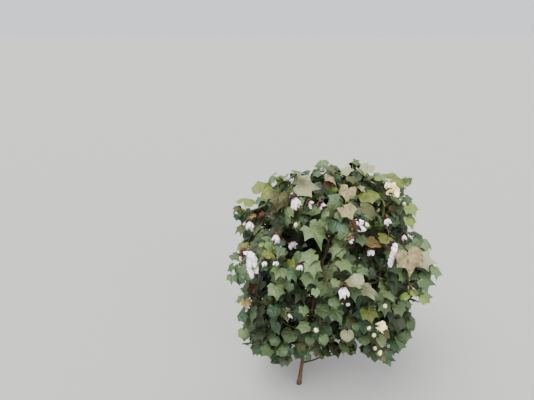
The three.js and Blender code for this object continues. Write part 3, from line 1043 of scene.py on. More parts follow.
for index, m in enumerate(masses):
    if not m.targets:
        continue
    pts = np.array([t["base"] for t in m.targets])
    k = max(1, min(len(pts), int(round(len(pts) / 4.2))))
    near, centres = clusters(pts, k, np.random.default_rng(500 + index))
    for j in range(k):
        mine = [t for t, q in zip(m.targets, near) if q == j]
        if not mine:
            continue
        goal = centres[j]
        gap = np.linalg.norm(m.path - goal, axis=1)
        at = int(np.argmin(gap + 0.55 * np.abs(m.run - (m.run[np.argmin(gap)] - 0.035))))
        start = m.path[at]
        heading = unit(m.path[min(at + 2, len(m.path) - 1)] - m.path[max(at - 2, 0)])
        inner = mix(start, goal, 0.80)
        joints = [(start, heading, m)]
        if np.linalg.norm(inner - start) > 0.02:
            joints += twig(start, heading, inner, 0.0017, 0.0011, m)
        for target in mine:
            d = [np.linalg.norm(q[0] - target["base"]) + (0.02 if i == 0 else 0) for i, q in enumerate(joints)]
            order = np.argsort(d)
            pick = joints[int(order[0])]
            if d[order[0]] < 0.018 and len(order) > 1:
                pick = joints[int(order[1])]
            span = float(np.linalg.norm(pick[0] - target["base"]))
            if span > 0.085:
                goal = mix(pick[0], target["base"], 1 - 0.050 / span) + UP * 0.004
                pick = twig(pick[0], pick[1], goal, 0.0014, 0.0010, m)[-1]
            grow_leaf(target, pick)

# Leaves on long stalks from the stem and the boughs themselves, where the masses part.
loose = np.random.default_rng(4242)
extra_leaves = 0
order = loose.permutation(len(nodes))
stem_nodes = [(stem_point(z) + 0.0, UP, None) for z in np.arange(0.20, 1.0, 0.022)]
for start, way, m in [nodes[i] for i in order] + stem_nodes * 2:
    if extra_leaves >= 90:
        break
    for _ in range(5):
        out = unit((start - stem_point(float(np.clip(start[2], 0, STEM_TOP)))) * vec(1, 1, 0) + loose.normal(size=3) * 0.05)
        p = start + unit(out * 0.7 + loose.normal(size=3) * 0.7 + UP * 0.35) * loose.uniform(0.045, 0.095)
        if p[2] < 0.2 or below_hem(p, 0.04) or any(np.linalg.norm(p - q) < 0.034 for q, _ in taken):
            continue
        if any(q.inside(p) and (p - q.centre).dot(p - q.centre) > 0.05**2 for q in masses) and loose.uniform() < 0.75:
            continue
        x, y, z = (float(w[0]) for w in seen_at(p))
        if any(z < sz + 0.02 and (x - sx) ** 2 + (y - sy) ** 2 < (sr + 8) ** 2 for sx, sy, sr, sz in shield):
            continue
        size = loose.uniform(0.030, 0.050)
        normal = unit(out * 0.6 + UP * loose.uniform(0.5, 1.2) + loose.normal(size=3) * 0.35)
        mid = unit(out * 0.5 - UP * loose.uniform(0.2, 1.0) + loose.normal(size=3) * 0.5)
        mid = unit(mid - normal * mid.dot(normal))
        kind = ["deep", "green", "green", "fresh", "olive"][loose.integers(0, 5)] if p[2] < 0.8 else ["green", "fresh", "fresh", "young", "olive"][loose.integers(0, 5)]
        grow_leaf(dict(base=p - mid * size * 0.38, mid=mid, normal=normal, size=size,
                       depth=loose.uniform(0.12, 0.36), kind=kind, seen=False), (start, way, m))  # fmt: skip
        taken.append((p, size))
        extra_leaves += 1
        break


# Leaves where a look through the crown would meet none: from the camera, and from round about.
def all_leaves():
    """The leaves made so far, as one tree of faces for sight lines."""
    v, f, n = [], [], 0
    for piece in leaves.values():
        if piece.count:
            v += piece.v
            f.append(np.vstack(piece.f) + n)
            n += piece.count
    return BVHTree.FromPolygons(np.vstack(v).tolist(), np.vstack(f).tolist())


def look_through(eye, step, between, limit):
    """Adds leaves on the sight lines from a point that pass between all leaves."""
    global joint_at
    ahead = unit(vec(0.09, 0, 0.62) - eye)
    right = unit(np.cross(ahead, UP))
    above = np.cross(right, ahead)
    tan = np.arange(-0.40, 0.401, step)
    centres = np.array([q for q, _ in taken])
    radii = np.array([q for _, q in taken]) * 0.50
    added = 0
    for v in fill.permutation(tan):
        for u in fill.permutation(tan):
            if added >= limit:
                return added
            d = unit(ahead + right * (u + fill.uniform(-0.4, 0.4) * step) + above * (v + fill.uniform(-0.4, 0.4) * step))
            along = (centres - eye) @ d
            miss = np.linalg.norm(centres - eye - along[:, None] * d, axis=1)
            if (miss < radii).any():
                continue
            best, beside = None, 0
            for m in masses:
                near = float((m.centre - eye) @ d)
                gap = np.linalg.norm(m.centre - eye - near * d)
                hit = m.tree.ray_cast(Vector(eye), Vector(d))
                beside += gap < m.half[1] * 1.45
                if hit[0] is None and not (between and gap < m.half[1] * 1.45):
                    continue
                score = gap / m.half[1] - (0.3 if hit[0] is not None else 0) - 0.25 * near
                if best is None or score < best[0]:
                    best = (score, m, near)
            if best is None or (best[0] > 0.7 and beside < 3):
                continue
            _, m, near = best
            p = eye + d * (near + fill.uniform(-0.5, 0.6) * m.half[0] * 0.6)
            x, y, z = (float(w[0]) for w in seen_at(p))
            size = fill.uniform(0.034, 0.052)
            room = 0.58 * size * FOCAL / z
            ahead_of = [sz for sx, sy, sr, sz in shield if z < sz + 0.02 and (x - sx) ** 2 + (y - sy) ** 2 < (sr + room) ** 2]
            if ahead_of and between:  # goes behind what shows there
                p = p + d * (max(ahead_of) + fill.uniform(0.03, 0.08) - z)
            elif ahead_of:
                continue
            if p[2] < 0.22 or (p < LO + 0.03).any() or (p > HI - 0.03).any() or below_hem(p, size):
                continue
            out = unit((p - stem_point(float(np.clip(p[2], 0, STEM_TOP)))) * vec(1, 1, 0) + fill.normal(size=3) * 0.03)
            normal = unit(out * 0.5 - d * 0.5 + UP * fill.uniform(0.3, 1.0) + fill.normal(size=3) * 0.3)
            mid = unit(out * 0.5 - UP * fill.uniform(0.3, 1.0) + fill.normal(size=3) * 0.5)
            mid = unit(mid - normal * mid.dot(normal))
            kind = fill.choice(["deep", "deep", "green", "olive"]) if p[2] < 0.62 else fill.choice(["deep", "green", "green", "fresh"])
            # leaves that show in the crown's hollows get the dark "inner" colours: painted shade
            if in_shade(p):
                kind = "inner"
            base = p - mid * size * 0.38
            gaps = np.linalg.norm(joint_at - base, axis=1)
            gaps = np.where(gaps < 0.02, 1.0, gaps)
            joint = nodes[int(np.argmin(gaps))]
            if gaps.min() > 0.15:
                continue
            if gaps.min() > 0.075:
                goal = mix(joint[0], base, 1 - 0.055 / gaps.min()) + UP * 0.006
                joint = twig(joint[0], joint[1], goal, 0.0014, 0.0010, m)[-1]
                joint_at = np.array([q[0] for q in nodes])
            grow_leaf(dict(base=base, mid=mid, normal=normal, size=size, depth=fill.uniform(0.1, 0.36),
                           kind=str(kind), seen=False, plain=True), joint)  # fmt: skip
            taken.append((p, size))
            centres = np.vstack([centres, p])
            radii = np.append(radii, size * 0.50)
            added += 1
    return added


def buried(p):
    """Whether a point lies well inside the crown, and behind all that the photo shows there."""
    x, y, z = (float(w[0]) for w in seen_at(p))
    _, q = front(x, y, 0.0)
    if z < float(seen_at(q)[2][0]) + 0.055:
        return False
    return not any(z < sz + 0.03 and (x - sx) ** 2 + (y - sy) ** 2 < (sr + 9) ** 2 for sx, sy, sr, sz in shield)


def close_up(eye, step, limit, back):
    """Old, shaded leaves near the stem, given dark colours as painted shade, wherever a sight line
    from a point passes right through the crown. back is how far behind the middle of the crown they may lie."""
    global joint_at
    tree = all_leaves()
    ahead = unit(vec(0.09, 0, 0.62) - eye)
    right = unit(np.cross(ahead, UP))
    above = np.cross(right, ahead)
    tan = np.arange(-0.40, 0.401, step)
    mine = np.zeros((0, 4))
    added = 0
    for v in fill.permutation(tan):
        for u in fill.permutation(tan):
            if added >= limit:
                return added
            d = unit(ahead + right * (u + fill.uniform(-0.3, 0.3) * step) + above * (v + fill.uniform(-0.3, 0.3) * step))
            if len(mine):
                along = (mine[:, :3] - eye) @ d
                if (np.linalg.norm(mine[:, :3] - eye - along[:, None] * d, axis=1) < mine[:, 3]).any():
                    continue
            if tree.ray_cast(Vector(eye), Vector(d))[0] is not None:
                continue
            spans = [(float((m.centre - eye) @ d), m) for m in masses]
            spans = [(at, float(np.linalg.norm(m.centre - eye - at * d)) / m.half[1]) for at, m in spans]
            spans = [(at, gap) for at, gap in spans if gap < 1.05]
            if not spans or (len(spans) == 1 and spans[0][1] > 0.90):
                continue
            spans = [at for at, _ in spans]
            size = fill.uniform(0.040, 0.056)
            at = mix(min(spans), max(spans), fill.uniform(0.45, back))
            p = eye + d * at
            if not buried(p):
                p = eye + d * (max(spans) + 0.02)
                if eye is not CAM or not buried(p):
                    continue
            if p[2] < 0.22 or below_hem(p, size) or (p < LO + 0.04).any() or (p > HI - 0.04).any():
                continue
            out = unit((p - stem_point(float(np.clip(p[2], 0, STEM_TOP)))) * vec(1, 1, 0) + fill.normal(size=3) * 0.03)
            normal = unit(-d * 0.9 + out * 0.2 + UP * fill.uniform(0.2, 0.7) + fill.normal(size=3) * 0.25)
            mid = unit(out * 0.4 - UP * fill.uniform(0.4, 1.0) + fill.normal(size=3) * 0.5)
            mid = unit(mid - normal * mid.dot(normal))
            base = p - mid * size * 0.38
            gaps = np.linalg.norm(joint_at - base, axis=1)
            gaps = np.where(gaps < 0.02, 1.0, gaps)
            joint = nodes[int(np.argmin(gaps))]
            if gaps.min() > 0.17:
                continue
            if gaps.min() > 0.085:
                goal = mix(joint[0], base, 1 - 0.060 / gaps.min()) + UP * 0.006
                joint = twig(joint[0], joint[1], goal, 0.0014, 0.0010, joint[2])[-1]
                joint_at = np.array([q[0] for q in nodes])
            grow_leaf(dict(base=base, mid=mid, normal=normal, size=size, depth=fill.uniform(0.1, 0.3),
                           kind="inner", seen=False), joint)  # fmt: skip
            mine = np.vstack([mine, [*p, size * 0.36]])
            added += 1
    return added


fill = np.random.default_rng(2024)
joint_at = np.array([q[0] for q in nodes])
AROUND = [(turn, math.radians(turn)) for turn in (35, 80, 130, 180, 230, 280, 325)]
filled = [look_through(CAM, 0.013, True, 150)]
for turn, w in AROUND:
    filled.append(look_through(vec(0.09 + 2.0 * math.sin(w), -2.0 * math.cos(w), 1.15), 0.026, False, 22))
filled.append(close_up(CAM, 0.010, 140, 0.75))
filled.append(close_up(CAM, 0.005, 130, 0.95))
for turn, w in AROUND:
    filled.append(close_up(vec(0.09 + 2.0 * math.sin(w), -2.0 * math.cos(w), 0.95), 0.014, 40, 0.60))
print("FILLED", filled)


# ---------------------------------------------------------------- bolls and flowers -----
def about(axis):
    """Two side vectors square to an axis."""
    axis = unit(axis)
    ref = UP if abs(axis[2]) < 0.9 else vec(1, 0, 0)
    a = unit(np.cross(axis, ref))
    return a, np.cross(axis, a)


_ball = {}


def ball(nu, nv):
    """Unit sphere: points, faces and their places in a chart."""
    if (nu, nv) not in _ball:
        v = [vec(0, 0, -1)]
        for i in range(1, nv):
            lat = -math.pi / 2 + math.pi * i / nv
            for j in range(nu):
                a = TAU * j / nu
                v.append(vec(math.cos(lat) * math.cos(a), math.cos(lat) * math.sin(a), math.sin(lat)))
        v.append(vec(0, 0, 1))
        f, uv = [], []
        g = lambda i, j: 1 + (i - 1) * nu + j % nu
        last = len(v) - 1
        for j in range(nu):
            f.append((0, g(1, j + 1), g(1, j)))
            uv.append(((j + 0.5) / nu, 0, (j + 1) / nu, 1 / nv, j / nu, 1 / nv))
            for i in range(1, nv - 1):
                a, b, c, d = g(i, j), g(i, j + 1), g(i + 1, j + 1), g(i + 1, j)
                u0, u1, v0, v1 = j / nu, (j + 1) / nu, i / nv, (i + 1) / nv
                f += [(a, b, c), (a, c, d)]
                uv += [(u0, v0, u1, v0, u1, v1), (u0, v0, u1, v1, u0, v1)]
            f.append((last, g(nv - 1, j), g(nv - 1, j + 1)))
            uv.append(((j + 0.5) / nu, 1, j / nu, 1 - 1 / nv, (j + 1) / nu, 1 - 1 / nv))
        _ball[nu, nv] = (np.array(v), np.array(f), np.array(uv).reshape(-1, 3, 2))
    return _ball[nu, nv]


def tuft(centre, way, length, width, seed, sag=0.0, fuzz=26, detail=(30, 21), rough=1.0):
    """One lock of lint: a lumpy, fluffed body in strands, with loose fibres standing off it."""
    v, f, uv = ball(*detail)
    a, b = about(way)
    p = v * vec(width * 0.5, width * 0.46, length * 0.5)
    strands = v * vec(1, 1, 0.22)
    lumps = (
        1
        + 0.15 * rough * billow(v + seed, 0.82, seed)
        + 0.11 * rough * billow(v + seed, 0.42, seed + 1)
        + 0.05 * billow(strands + seed, 0.24, seed + 2)
        + 0.05 * noise(v + seed, 0.12, seed + 3)
    )
    p = p * lumps[:, None]
    p[:, 0] += 0.12 * width * noise(v * vec(0, 0, 1) + seed, 0.5, seed + 7)
    p[:, 1] += 0.12 * width * noise(v * vec(0, 0, 1) + seed, 0.5, seed + 8)
    w = centre + p[:, :1] * a + p[:, 1:2] * b + p[:, 2:] * unit(way)
    if sag:
        share = (v[:, 2] * 0.5 + 0.5) ** 1.5
        w = w - UP * (sag * share)[:, None]
    tone = np.clip(0.5 + 0.5 * noise(v * 1.0 + seed, 0.5, seed + 5), 0, 1)
    vein = np.zeros((len(w), 3))
    # the lump height, which the lint material turns into painted shade where it is low, in the creases
    vein[:, 0] = (lumps - 0.6) / 0.9
    vein[:, 2] = tone
    lint_piece.add(w, f, uv, vein=vein)
    r = np.random.default_rng(seed * 13 + 5)
    if fuzz:
        pick = r.choice(len(w), fuzz, replace=False)
        out = unit(w[pick] - w.mean(0) + r.normal(size=(fuzz, 3)) * 0.004)
        drift = unit(out * 0.8 + r.normal(size=(fuzz, 3)) * 0.7 - UP * 0.4)
        hairs(fibre_piece, w[pick] - out * 0.001, drift, r.uniform(0.004, 0.009, fuzz), 0.00013, 1.2, seed)


def lint_string(places, widths, seed):
    """Lint drawn out downwards into one long, fluffed, streaky string."""
    run = np.concatenate([[0], np.cumsum(np.linalg.norm(np.diff(places, axis=0), axis=1))])
    n, sides = int(run[-1] / 0.0013), 28
    h = np.linspace(0, run[-1], n)
    line = np.stack([np.interp(h, run, places[:, k]) for k in range(3)], 1)
    wide = np.interp(h, run, widths)
    for _ in range(30):
        line[1:-1] = (line[:-2] + 2 * line[1:-1] + line[2:]) / 4
        wide[1:-1] = (wide[:-2] + 2 * wide[1:-1] + wide[2:]) / 4
    for end in (h / (wide[0] * 0.55), (h[-1] - h) / (wide[-1] * 0.70)):
        wide = wide * np.sqrt(np.clip(1 - (1 - np.clip(end, 0, 1)) ** 2, 0.004, 1))
    t, side, b = travel(line)
    line = line + side * (0.0011 * noise(np.stack([h, h * 0, h * 0 + seed], 1), 0.016, seed))[:, None]
    line = line + b * (0.0011 * noise(np.stack([h, h * 0, h * 0 + seed], 1), 0.016, seed + 9))[:, None]
    a, hh = np.meshgrid(np.arange(sides) / sides * TAU, h)
    r = (wide / 2)[:, None] * np.ones(sides)
    p = np.stack([r * np.cos(a), r * np.sin(a), hh * 0.62], -1)
    long = np.stack([r * np.cos(a), r * np.sin(a), hh * 0.10], -1)
    lumps = (
        0.16 * billow(p, 0.0090, seed) + 0.11 * billow(p, 0.0046, seed + 1)
        + 0.07 * billow(p, 0.0024, seed + 2) + 0.09 * noise(long, 0.0024, seed + 3)
    )  # fmt: skip
    radius = r * (1 + lumps)
    ring = line[:, None] + radius[..., None] * (np.cos(a)[..., None] * side[:, None] + np.sin(a)[..., None] * b[:, None])
    v = np.vstack([ring.reshape(-1, 3), line[:1], line[-1:]])
    f, uv = tube_faces(n, sides)
    vein = np.zeros((len(v), 3))
    # the lump height, which the lint material turns into painted shade where it is low, in the creases
    vein[:-2, 0] = (lumps.ravel() + 0.4) / 0.9
    vein[-2:, 0] = 0.6
    lint_piece.add(v, f, uv, vein=vein)
    q = np.random.default_rng(seed * 3 + 1)
    m = int(run[-1] * 2200)
    pick = q.integers(0, len(v) - 2, m)
    out = unit(v[pick] - line[pick // sides])
    drift = unit(out * 0.7 + q.normal(size=(m, 3)) * 0.5 - UP * 0.9)
    hairs(fibre_piece, v[pick] - out * 0.001, drift, q.uniform(0.004, 0.011, m), 0.00013, 1.0, seed)


def valve(piece, base, axis, azimuth, length, wide, open_from, open_to, tone, seed, scale=1.0):
    """One dry, pointed segment of an open burr, cupped and bent back."""
    a, b = about(axis)
    out = a * math.cos(azimuth) + b * math.sin(azimuth)
    across = np.cross(axis, out)
    ns, nw = 11, 7
    s = np.linspace(0, 1, ns)
    ang = np.radians(mix(open_from, open_to, s**1.2))
    step = np.stack([np.sin(ang), np.cos(ang)], 1) * length / (ns - 1)
    line = np.vstack([[0, 0], np.cumsum(step, 0)[:-1]])
    spine = base + out * (line[:, :1] + 0.0035 * scale) + axis * line[:, 1:2]
    inward = unit(-out * np.cos(ang)[:, None] + axis * np.sin(ang)[:, None])
    half = wide * 0.5 * (np.sin(np.pi * np.clip(0.14 + 0.86 * s, 0, 1) ** 0.92) ** 0.75 + 0.02)
    c = np.linspace(-1, 1, nw)
    p = np.stack([s[:, None] * np.ones(nw), c[None] * np.ones((ns, 1)), np.full((ns, nw), seed * 0.7)], -1)
    rough = noise(p, 0.3, seed)
    grid = (
        spine[:, None, :]
        + across[None, None, :] * (half[:, None] * c[None])[..., None]
        + inward[:, None, :] * (0.34 * half[:, None] * c[None] ** 2 + 0.0006 * rough)[..., None]
        - inward[:, None, :] * (0.0004 * np.exp(-((c[None] / 0.12) ** 2)))[..., None]
    )
    thick = 0.0011 * scale * (1 - 0.75 * np.abs(c[None]) ** 3) * (1 - 0.6 * s[:, None] ** 4)
    back = grid - inward[:, None, :] * thick[..., None]
    n = ns * nw
    v = np.vstack([grid.reshape(-1, 3), back.reshape(-1, 3)])
    i, j = np.meshgrid(np.arange(ns - 1), np.arange(nw - 1), indexing="ij")
    i, j = i.ravel(), j.ravel()
    q = [i * nw + j, i * nw + j + 1, (i + 1) * nw + j + 1, (i + 1) * nw + j]
    up = np.concatenate([np.stack([q[0], q[2], q[1]], 1), np.stack([q[0], q[3], q[2]], 1)])
    down = up[:, ::-1] + n
    ring = (
        [(0, k) for k in range(nw)]
        + [(k, nw - 1) for k in range(1, ns)]
        + [(ns - 1, k) for k in range(nw - 2, -1, -1)]
        + [(k, 0) for k in range(ns - 2, 0, -1)]
    )
    ids = np.array([x * nw + y for x, y in ring])
    nxt = np.roll(ids, -1)
    edge = np.concatenate([np.stack([ids, nxt, nxt + n], 1), np.stack([ids, nxt + n, ids + n], 1)])
    f = np.concatenate([up, down, edge])
    flat = np.stack([c[None] * 0.5 * np.ones((ns, 1)) + 0.5, s[:, None] * np.ones(nw)], -1).reshape(-1, 2)
    flat = np.vstack([flat, flat])
    under = np.concatenate([np.zeros(len(up)), np.ones(len(down)), np.ones(len(edge))])
    chart = under.astype(int)
    vein = np.zeros((len(v), 3))
    vein[:, 0] = flat[:, 1]
    vein[:, 1] = np.abs(flat[:, 0] - 0.5) * 2
    vein[:, 2] = tone
    # turned over so that the grid faces inward, to the lint
    piece.add(v, f, flat[f], vein=vein, under=under, chart=chart, charts=2)


def bracts(piece, base, axis, length, spread, r, dry=False, count=3, hue=None):
    """The toothed leaflets under a boll, bud or flower."""
    a, b = about(axis)
    first = r.uniform(0, TAU)
    for k in range(count):
        w = first + TAU * k / count + r.uniform(-0.15, 0.15)
        out = a * math.cos(w) + b * math.sin(w)
        mid = unit(axis * math.cos(spread) + out * math.sin(spread))
        # the upper side of the blade looks at the fruit, so it cups round it
        normal = unit(-(out * math.cos(spread) - axis * math.sin(spread)))
        rays = bract_outline(BRACT.phi, np.abs(np.arange(BRACT.na) - BRACT.na // 2), 0.20 if dry else 0.30)
        rays = rays * (1 + 0.10 * r.normal(size=BRACT.na)) * (1 - 0.12 * r.uniform() * np.sin(np.radians(BRACT.phi)))
        blade(piece, BRACT, length, base + out * 0.003, mid, normal, rays, thick=0.0005,
              droop=-0.55 if not dry else r.uniform(-0.9, 0.9), fold=0.30 if not dry else 0.25,
              bulge=0.0, wave=0.10 if dry else 0.02, waves=5, phase=r.uniform(0, TAU),
              crumple=0.16 if dry else 0.02, tone=r.uniform(-1, 1) if hue is None else hue, seed=int(r.integers(1, 900)), fit=2.1)  # fmt: skip


def open_boll(f, r):
    """Four or five spread burr segments, with the locks of lint coming out of them."""
    axis, base, scale = f["axis"], f["base"], f["scale"]
    count = 5 if r.uniform() < 0.45 else 4
    first = r.uniform(0, TAU)
    length = r.uniform(0.031, 0.036) * scale
    bare = f["kind"] == "hanging" or f["lint"] < 0.75
    a, b = about(axis)
    for k in range(count):
        w = first + TAU * k / count + r.uniform(-0.12, 0.12)
        valve(burr_piece, base, axis, w, length * r.uniform(0.92, 1.06), (0.0215 if count == 4 else 0.0185) * scale,
              r.uniform(38, 50), r.uniform(92, 128) if bare else r.uniform(70, 104),
              f["hue"] + r.uniform(-0.25, 0.25), int(r.integers(1, 900)), scale)  # fmt: skip
    full = f["lint"]
    fine = (30, 21) if scale > 0.6 and f["seen"] else (22, 15)
    fuzz = int((24 if f["seen"] else 14) * min(1.0, scale + 0.1))
    if f["kind"] == "hanging":
        # strings of lint pulled out of the burr by their own weight, side by side
        for places, widths in f["lines"]:
            lint_string(places, widths, int(r.integers(10, 4000)))
        for k in range(2):
            w = first + TAU * k / count
            out = a * math.cos(w) + b * math.sin(w)
            tuft(base + out * 0.008 + axis * 0.012, unit(axis + out * 0.7), 0.020, 0.014, int(r.integers(10, 4000)), 0.004)
    else:
        size = scale * min(1.0, 0.66 + 0.36 * full)
        for k in range(count):
            if full < 0.75 and k % 2:
                continue
            w = first + TAU * k / count + r.uniform(-0.15, 0.15)
            out = a * math.cos(w) + b * math.sin(w)
            way = unit(axis + out * r.uniform(0.45, 0.85) - UP * 0.3 * min(f["sag"] / 0.01, 1.5))
            spot = base + out * 0.0115 * size + axis * 0.0190 * size - UP * f["sag"] * 0.35
            tuft(spot, way, 0.033 * size * r.uniform(0.85, 1.12) + f["sag"] * 0.4, 0.0205 * size * r.uniform(0.85, 1.1),
                 int(r.integers(10, 4000)), f["sag"] * r.uniform(0.5, 1.0), fuzz, fine)  # fmt: skip
        if full >= 0.75:
            tuft(base + axis * 0.020 * size - UP * f["sag"] * 0.2, axis, 0.022 * size, 0.019 * size,
                 int(r.integers(10, 4000)), 0, 12, (20, 14))  # fmt: skip
    bracts(dry_bract_piece, base - axis * 0.001, axis, r.uniform(0.019, 0.026) * scale, r.uniform(1.3, 1.9), r,
           dry=True, hue=f["hue"])  # fmt: skip


def green_boll(f, r):
    axis, base = f["axis"], f["base"]
    a, b = about(axis)
    v, fc, uv = ball(30, 20)
    size = f["scale"]
    length, width = 0.037 * size, 0.026 * size
    ang = np.arctan2(v[:, 1], v[:, 0])
    up = v[:, 2]
    lobes = 1 - 0.055 * np.abs(np.cos(2.25 * ang)) ** 6 * (1 - up**2)
    point = np.where(up > 0.55, (up - 0.55) / 0.45, 0) ** 2.2
    prof = (1 - 0.10 * up) * lobes * (1 - 0.12 * point)
    p = np.stack([v[:, 0] * prof * width / 2, v[:, 1] * prof * width / 2, up * length / 2 + point * 0.004 * size], 1)
    p[:, 2] += length * 0.5
    w = base + p[:, :1] * a + p[:, 1:2] * b + p[:, 2:] * axis
    vein = np.zeros((len(w), 3))
    vein[:, 0] = up * 0.5 + 0.5
    vein[:, 2] = r.uniform(-1, 1)
    boll_piece.add(w, fc, uv, vein=vein)
    bracts(bract_piece, base - axis * 0.001, axis, 0.036 * size, 0.42, r)


def bud(f, r):
    """A young flower: cream petals rolled shut in three toothed bracts."""
    axis, base, size = f["axis"], f["base"], f["scale"]
    bracts(bract_piece, base, axis, size * 0.021, 0.36, r)
    a, b = about(axis)
    v, fc, uv = ball(20, 14)
    ang = np.arctan2(v[:, 1], v[:, 0])
    swirl = 1 + 0.13 * np.sin(5 * ang + 5 * v[:, 2]) * (1 - v[:, 2] ** 2)
    p = v * vec(0.0078, 0.0078, 0.0135) * size
    p[:, :2] *= (swirl * (1 - 0.28 * v[:, 2]))[:, None]
    p[:, 2] += 0.0150 * size
    petal_piece.add(base + p[:, :1] * a + p[:, 1:2] * b + p[:, 2:] * axis, fc, uv)


def flower(f, r):
    """A half-open, cream-yellow flower: five broad, overlapping, ruffled petals."""
    axis, base, size = f["axis"], f["base"], f["scale"]
    a, b = about(axis)
    first = r.uniform(0, TAU)
    for k in range(5):
        w = first + TAU * k / 5
        out = a * math.cos(w) + b * math.sin(w)
        spread = r.uniform(0.30, 0.62) * f.get("wide", 1.0)
        mid = unit(axis * math.cos(spread) + out * math.sin(spread))
        normal = unit(-(out * math.cos(spread) - axis * math.sin(spread)) + np.cross(axis, out) * 0.45)
        blade(petal_piece, PETAL, 0.040 * size * r.uniform(0.9, 1.06), base + (axis * 0.005 + out * 0.002) * size,
              mid, normal, petal_outline(PETAL.phi), thick=0.0006, droop=r.uniform(0.1, 0.7), fold=-0.18,
              bulge=0.0, wave=r.uniform(0.06, 0.11), waves=7, phase=r.uniform(0, TAU), crumple=0.05,
              seed=int(r.integers(1, 900)), tone=r.uniform(-1, 1), fit=1.7)  # fmt: skip
    v, fc, uv = ball(14, 12)
    p = v * vec(0.0036, 0.0036, 0.0085) * (1 + 0.3 * noise(v + 5, 0.35, 4))[:, None] * size
    p[:, 2] += 0.013 * size
    petal_piece.add(base + p[:, :1] * a + p[:, 1:2] * b + p[:, 2:] * axis, fc, uv)
    bracts(bract_piece, base, axis, 0.026 * size, 0.55, r)


# Fruit where the photo doesn't look: open bolls all round, green bolls, buds and flowers.
EXTRA = {"open": 20, "green": 14, "bud": 12, "flower": 3}
places = [i for i, q in enumerate(nodes) if q[0][2] > 0.22]
r_extra = np.random.default_rng(77)
r_extra.shuffle(places)
held = [f["pos"] for f in fruits]
for kind, want in EXTRA.items():
    got = 0
    for i in places:
        if got >= want:
            break
        p, way, m = nodes[i]
        if kind in ("bud", "flower") and p[2] < 0.55:
            continue
        if kind == "open" and not 0.30 < p[2] < 0.98:
            continue
        if (p - stem_point(float(np.clip(p[2], 0, STEM_TOP)))).dot(TO_EYE) > (-0.01 if kind in ("open", "flower") else 0.03):
            continue
        axis = stem_point(float(np.clip(p[2], 0, STEM_TOP)))
        out = unit((p - axis) * vec(1, 1, 0) + vec(0, 0, 1e-6))
        if np.linalg.norm((p - axis)[:2]) < 0.11:
            continue
        spot = p + out * 0.045 + UP * r_extra.uniform(-0.02, 0.02)
        x, y, z = (float(w[0]) for w in seen_at(spot))
        clear = kind == "green" or all(
            (x - sx) ** 2 + (y - sy) ** 2 > 16**2 or z > sz + 0.1 for sx, sy, sr, sz in shield
        )
        if not clear or any(np.linalg.norm(spot - q) < 0.075 for q in held):
            continue
        if (spot < LO + 0.02).any() or (spot > HI - 0.02).any():
            continue
        fruits.append(dict(kind=kind, pos=spot, mass=m, lint=r_extra.choice([0.6, 0.9, 1.0, 1.1]),
                           sag=r_extra.uniform(0.002, 0.018), scale=r_extra.uniform(0.62, 0.92),
                           hue=r_extra.uniform(-1, 0.8), extra=True))  # fmt: skip
        held.append(spot)
        got += 1

joint_at = np.array([q[0] for q in nodes])
for index, f in enumerate(fruits):
    r = np.random.default_rng(9000 + index)
    p = f["pos"]
    d = np.linalg.norm(joint_at - p, axis=1)
    # a fruit hangs from a joint behind it, not from one further out
    behind = np.where((joint_at - p) @ unit(p - stem_point(float(np.clip(p[2], 0, STEM_TOP)))) > 0.02, 0.08, 0)
    k = int(np.argmin(np.where(d < 0.022, 9.0, d) + behind))
    start, way, m = nodes[k]
    f["seen"] = not f.get("extra", False)
    out = unit((p - stem_point(float(np.clip(p[2], 0, STEM_TOP)))) * vec(1, 1, 0) + vec(0, 0, 1e-6))
    if "axis" in f:
        axis = f["axis"]
    elif f["kind"] == "open":
        axis = unit(out * 0.9 + UP * r.uniform(-0.35, 0.35) + r.normal(size=3) * 0.25)
    elif f["kind"] == "green":
        axis = unit(out * 0.7 + UP * r.uniform(0.1, 0.9) + r.normal(size=3) * 0.2)
    else:
        axis = unit(out * 0.5 + UP * 0.9 + r.normal(size=3) * 0.2)
    base = p - axis * 0.014 * f["scale"]
    f["axis"], f["base"] = axis, base
    span = float(np.linalg.norm(base - start))
    if span > 0.065:
        inner = mix(start, base, 0.62) + UP * 0.008
        more = twig(start, way, inner, 0.0016, 0.0013, m)
        start, way = more[-1][0], more[-1][1]
        span = float(np.linalg.norm(base - start))
    t = np.linspace(0, 1, 9)[:, None]
    p1, p2 = start + unit(way + UP * 0.3) * span * 0.35, base - axis * span * 0.4
    line = start * (1 - t) ** 3 + 3 * p1 * t * (1 - t) ** 2 + 3 * p2 * t * t * (1 - t) + base * t**3
    tube(twig_piece, line, np.linspace(0.0014, 0.0019, 9), 8, tone=r.uniform(-1, 1))
    if f["kind"] in ("open", "hanging"):
        open_boll(f, r)
    elif f["kind"] == "green":
        green_boll(f, r)
    elif f["kind"] == "flower":
        flower(f, r)
    else:
        bud(f, r)


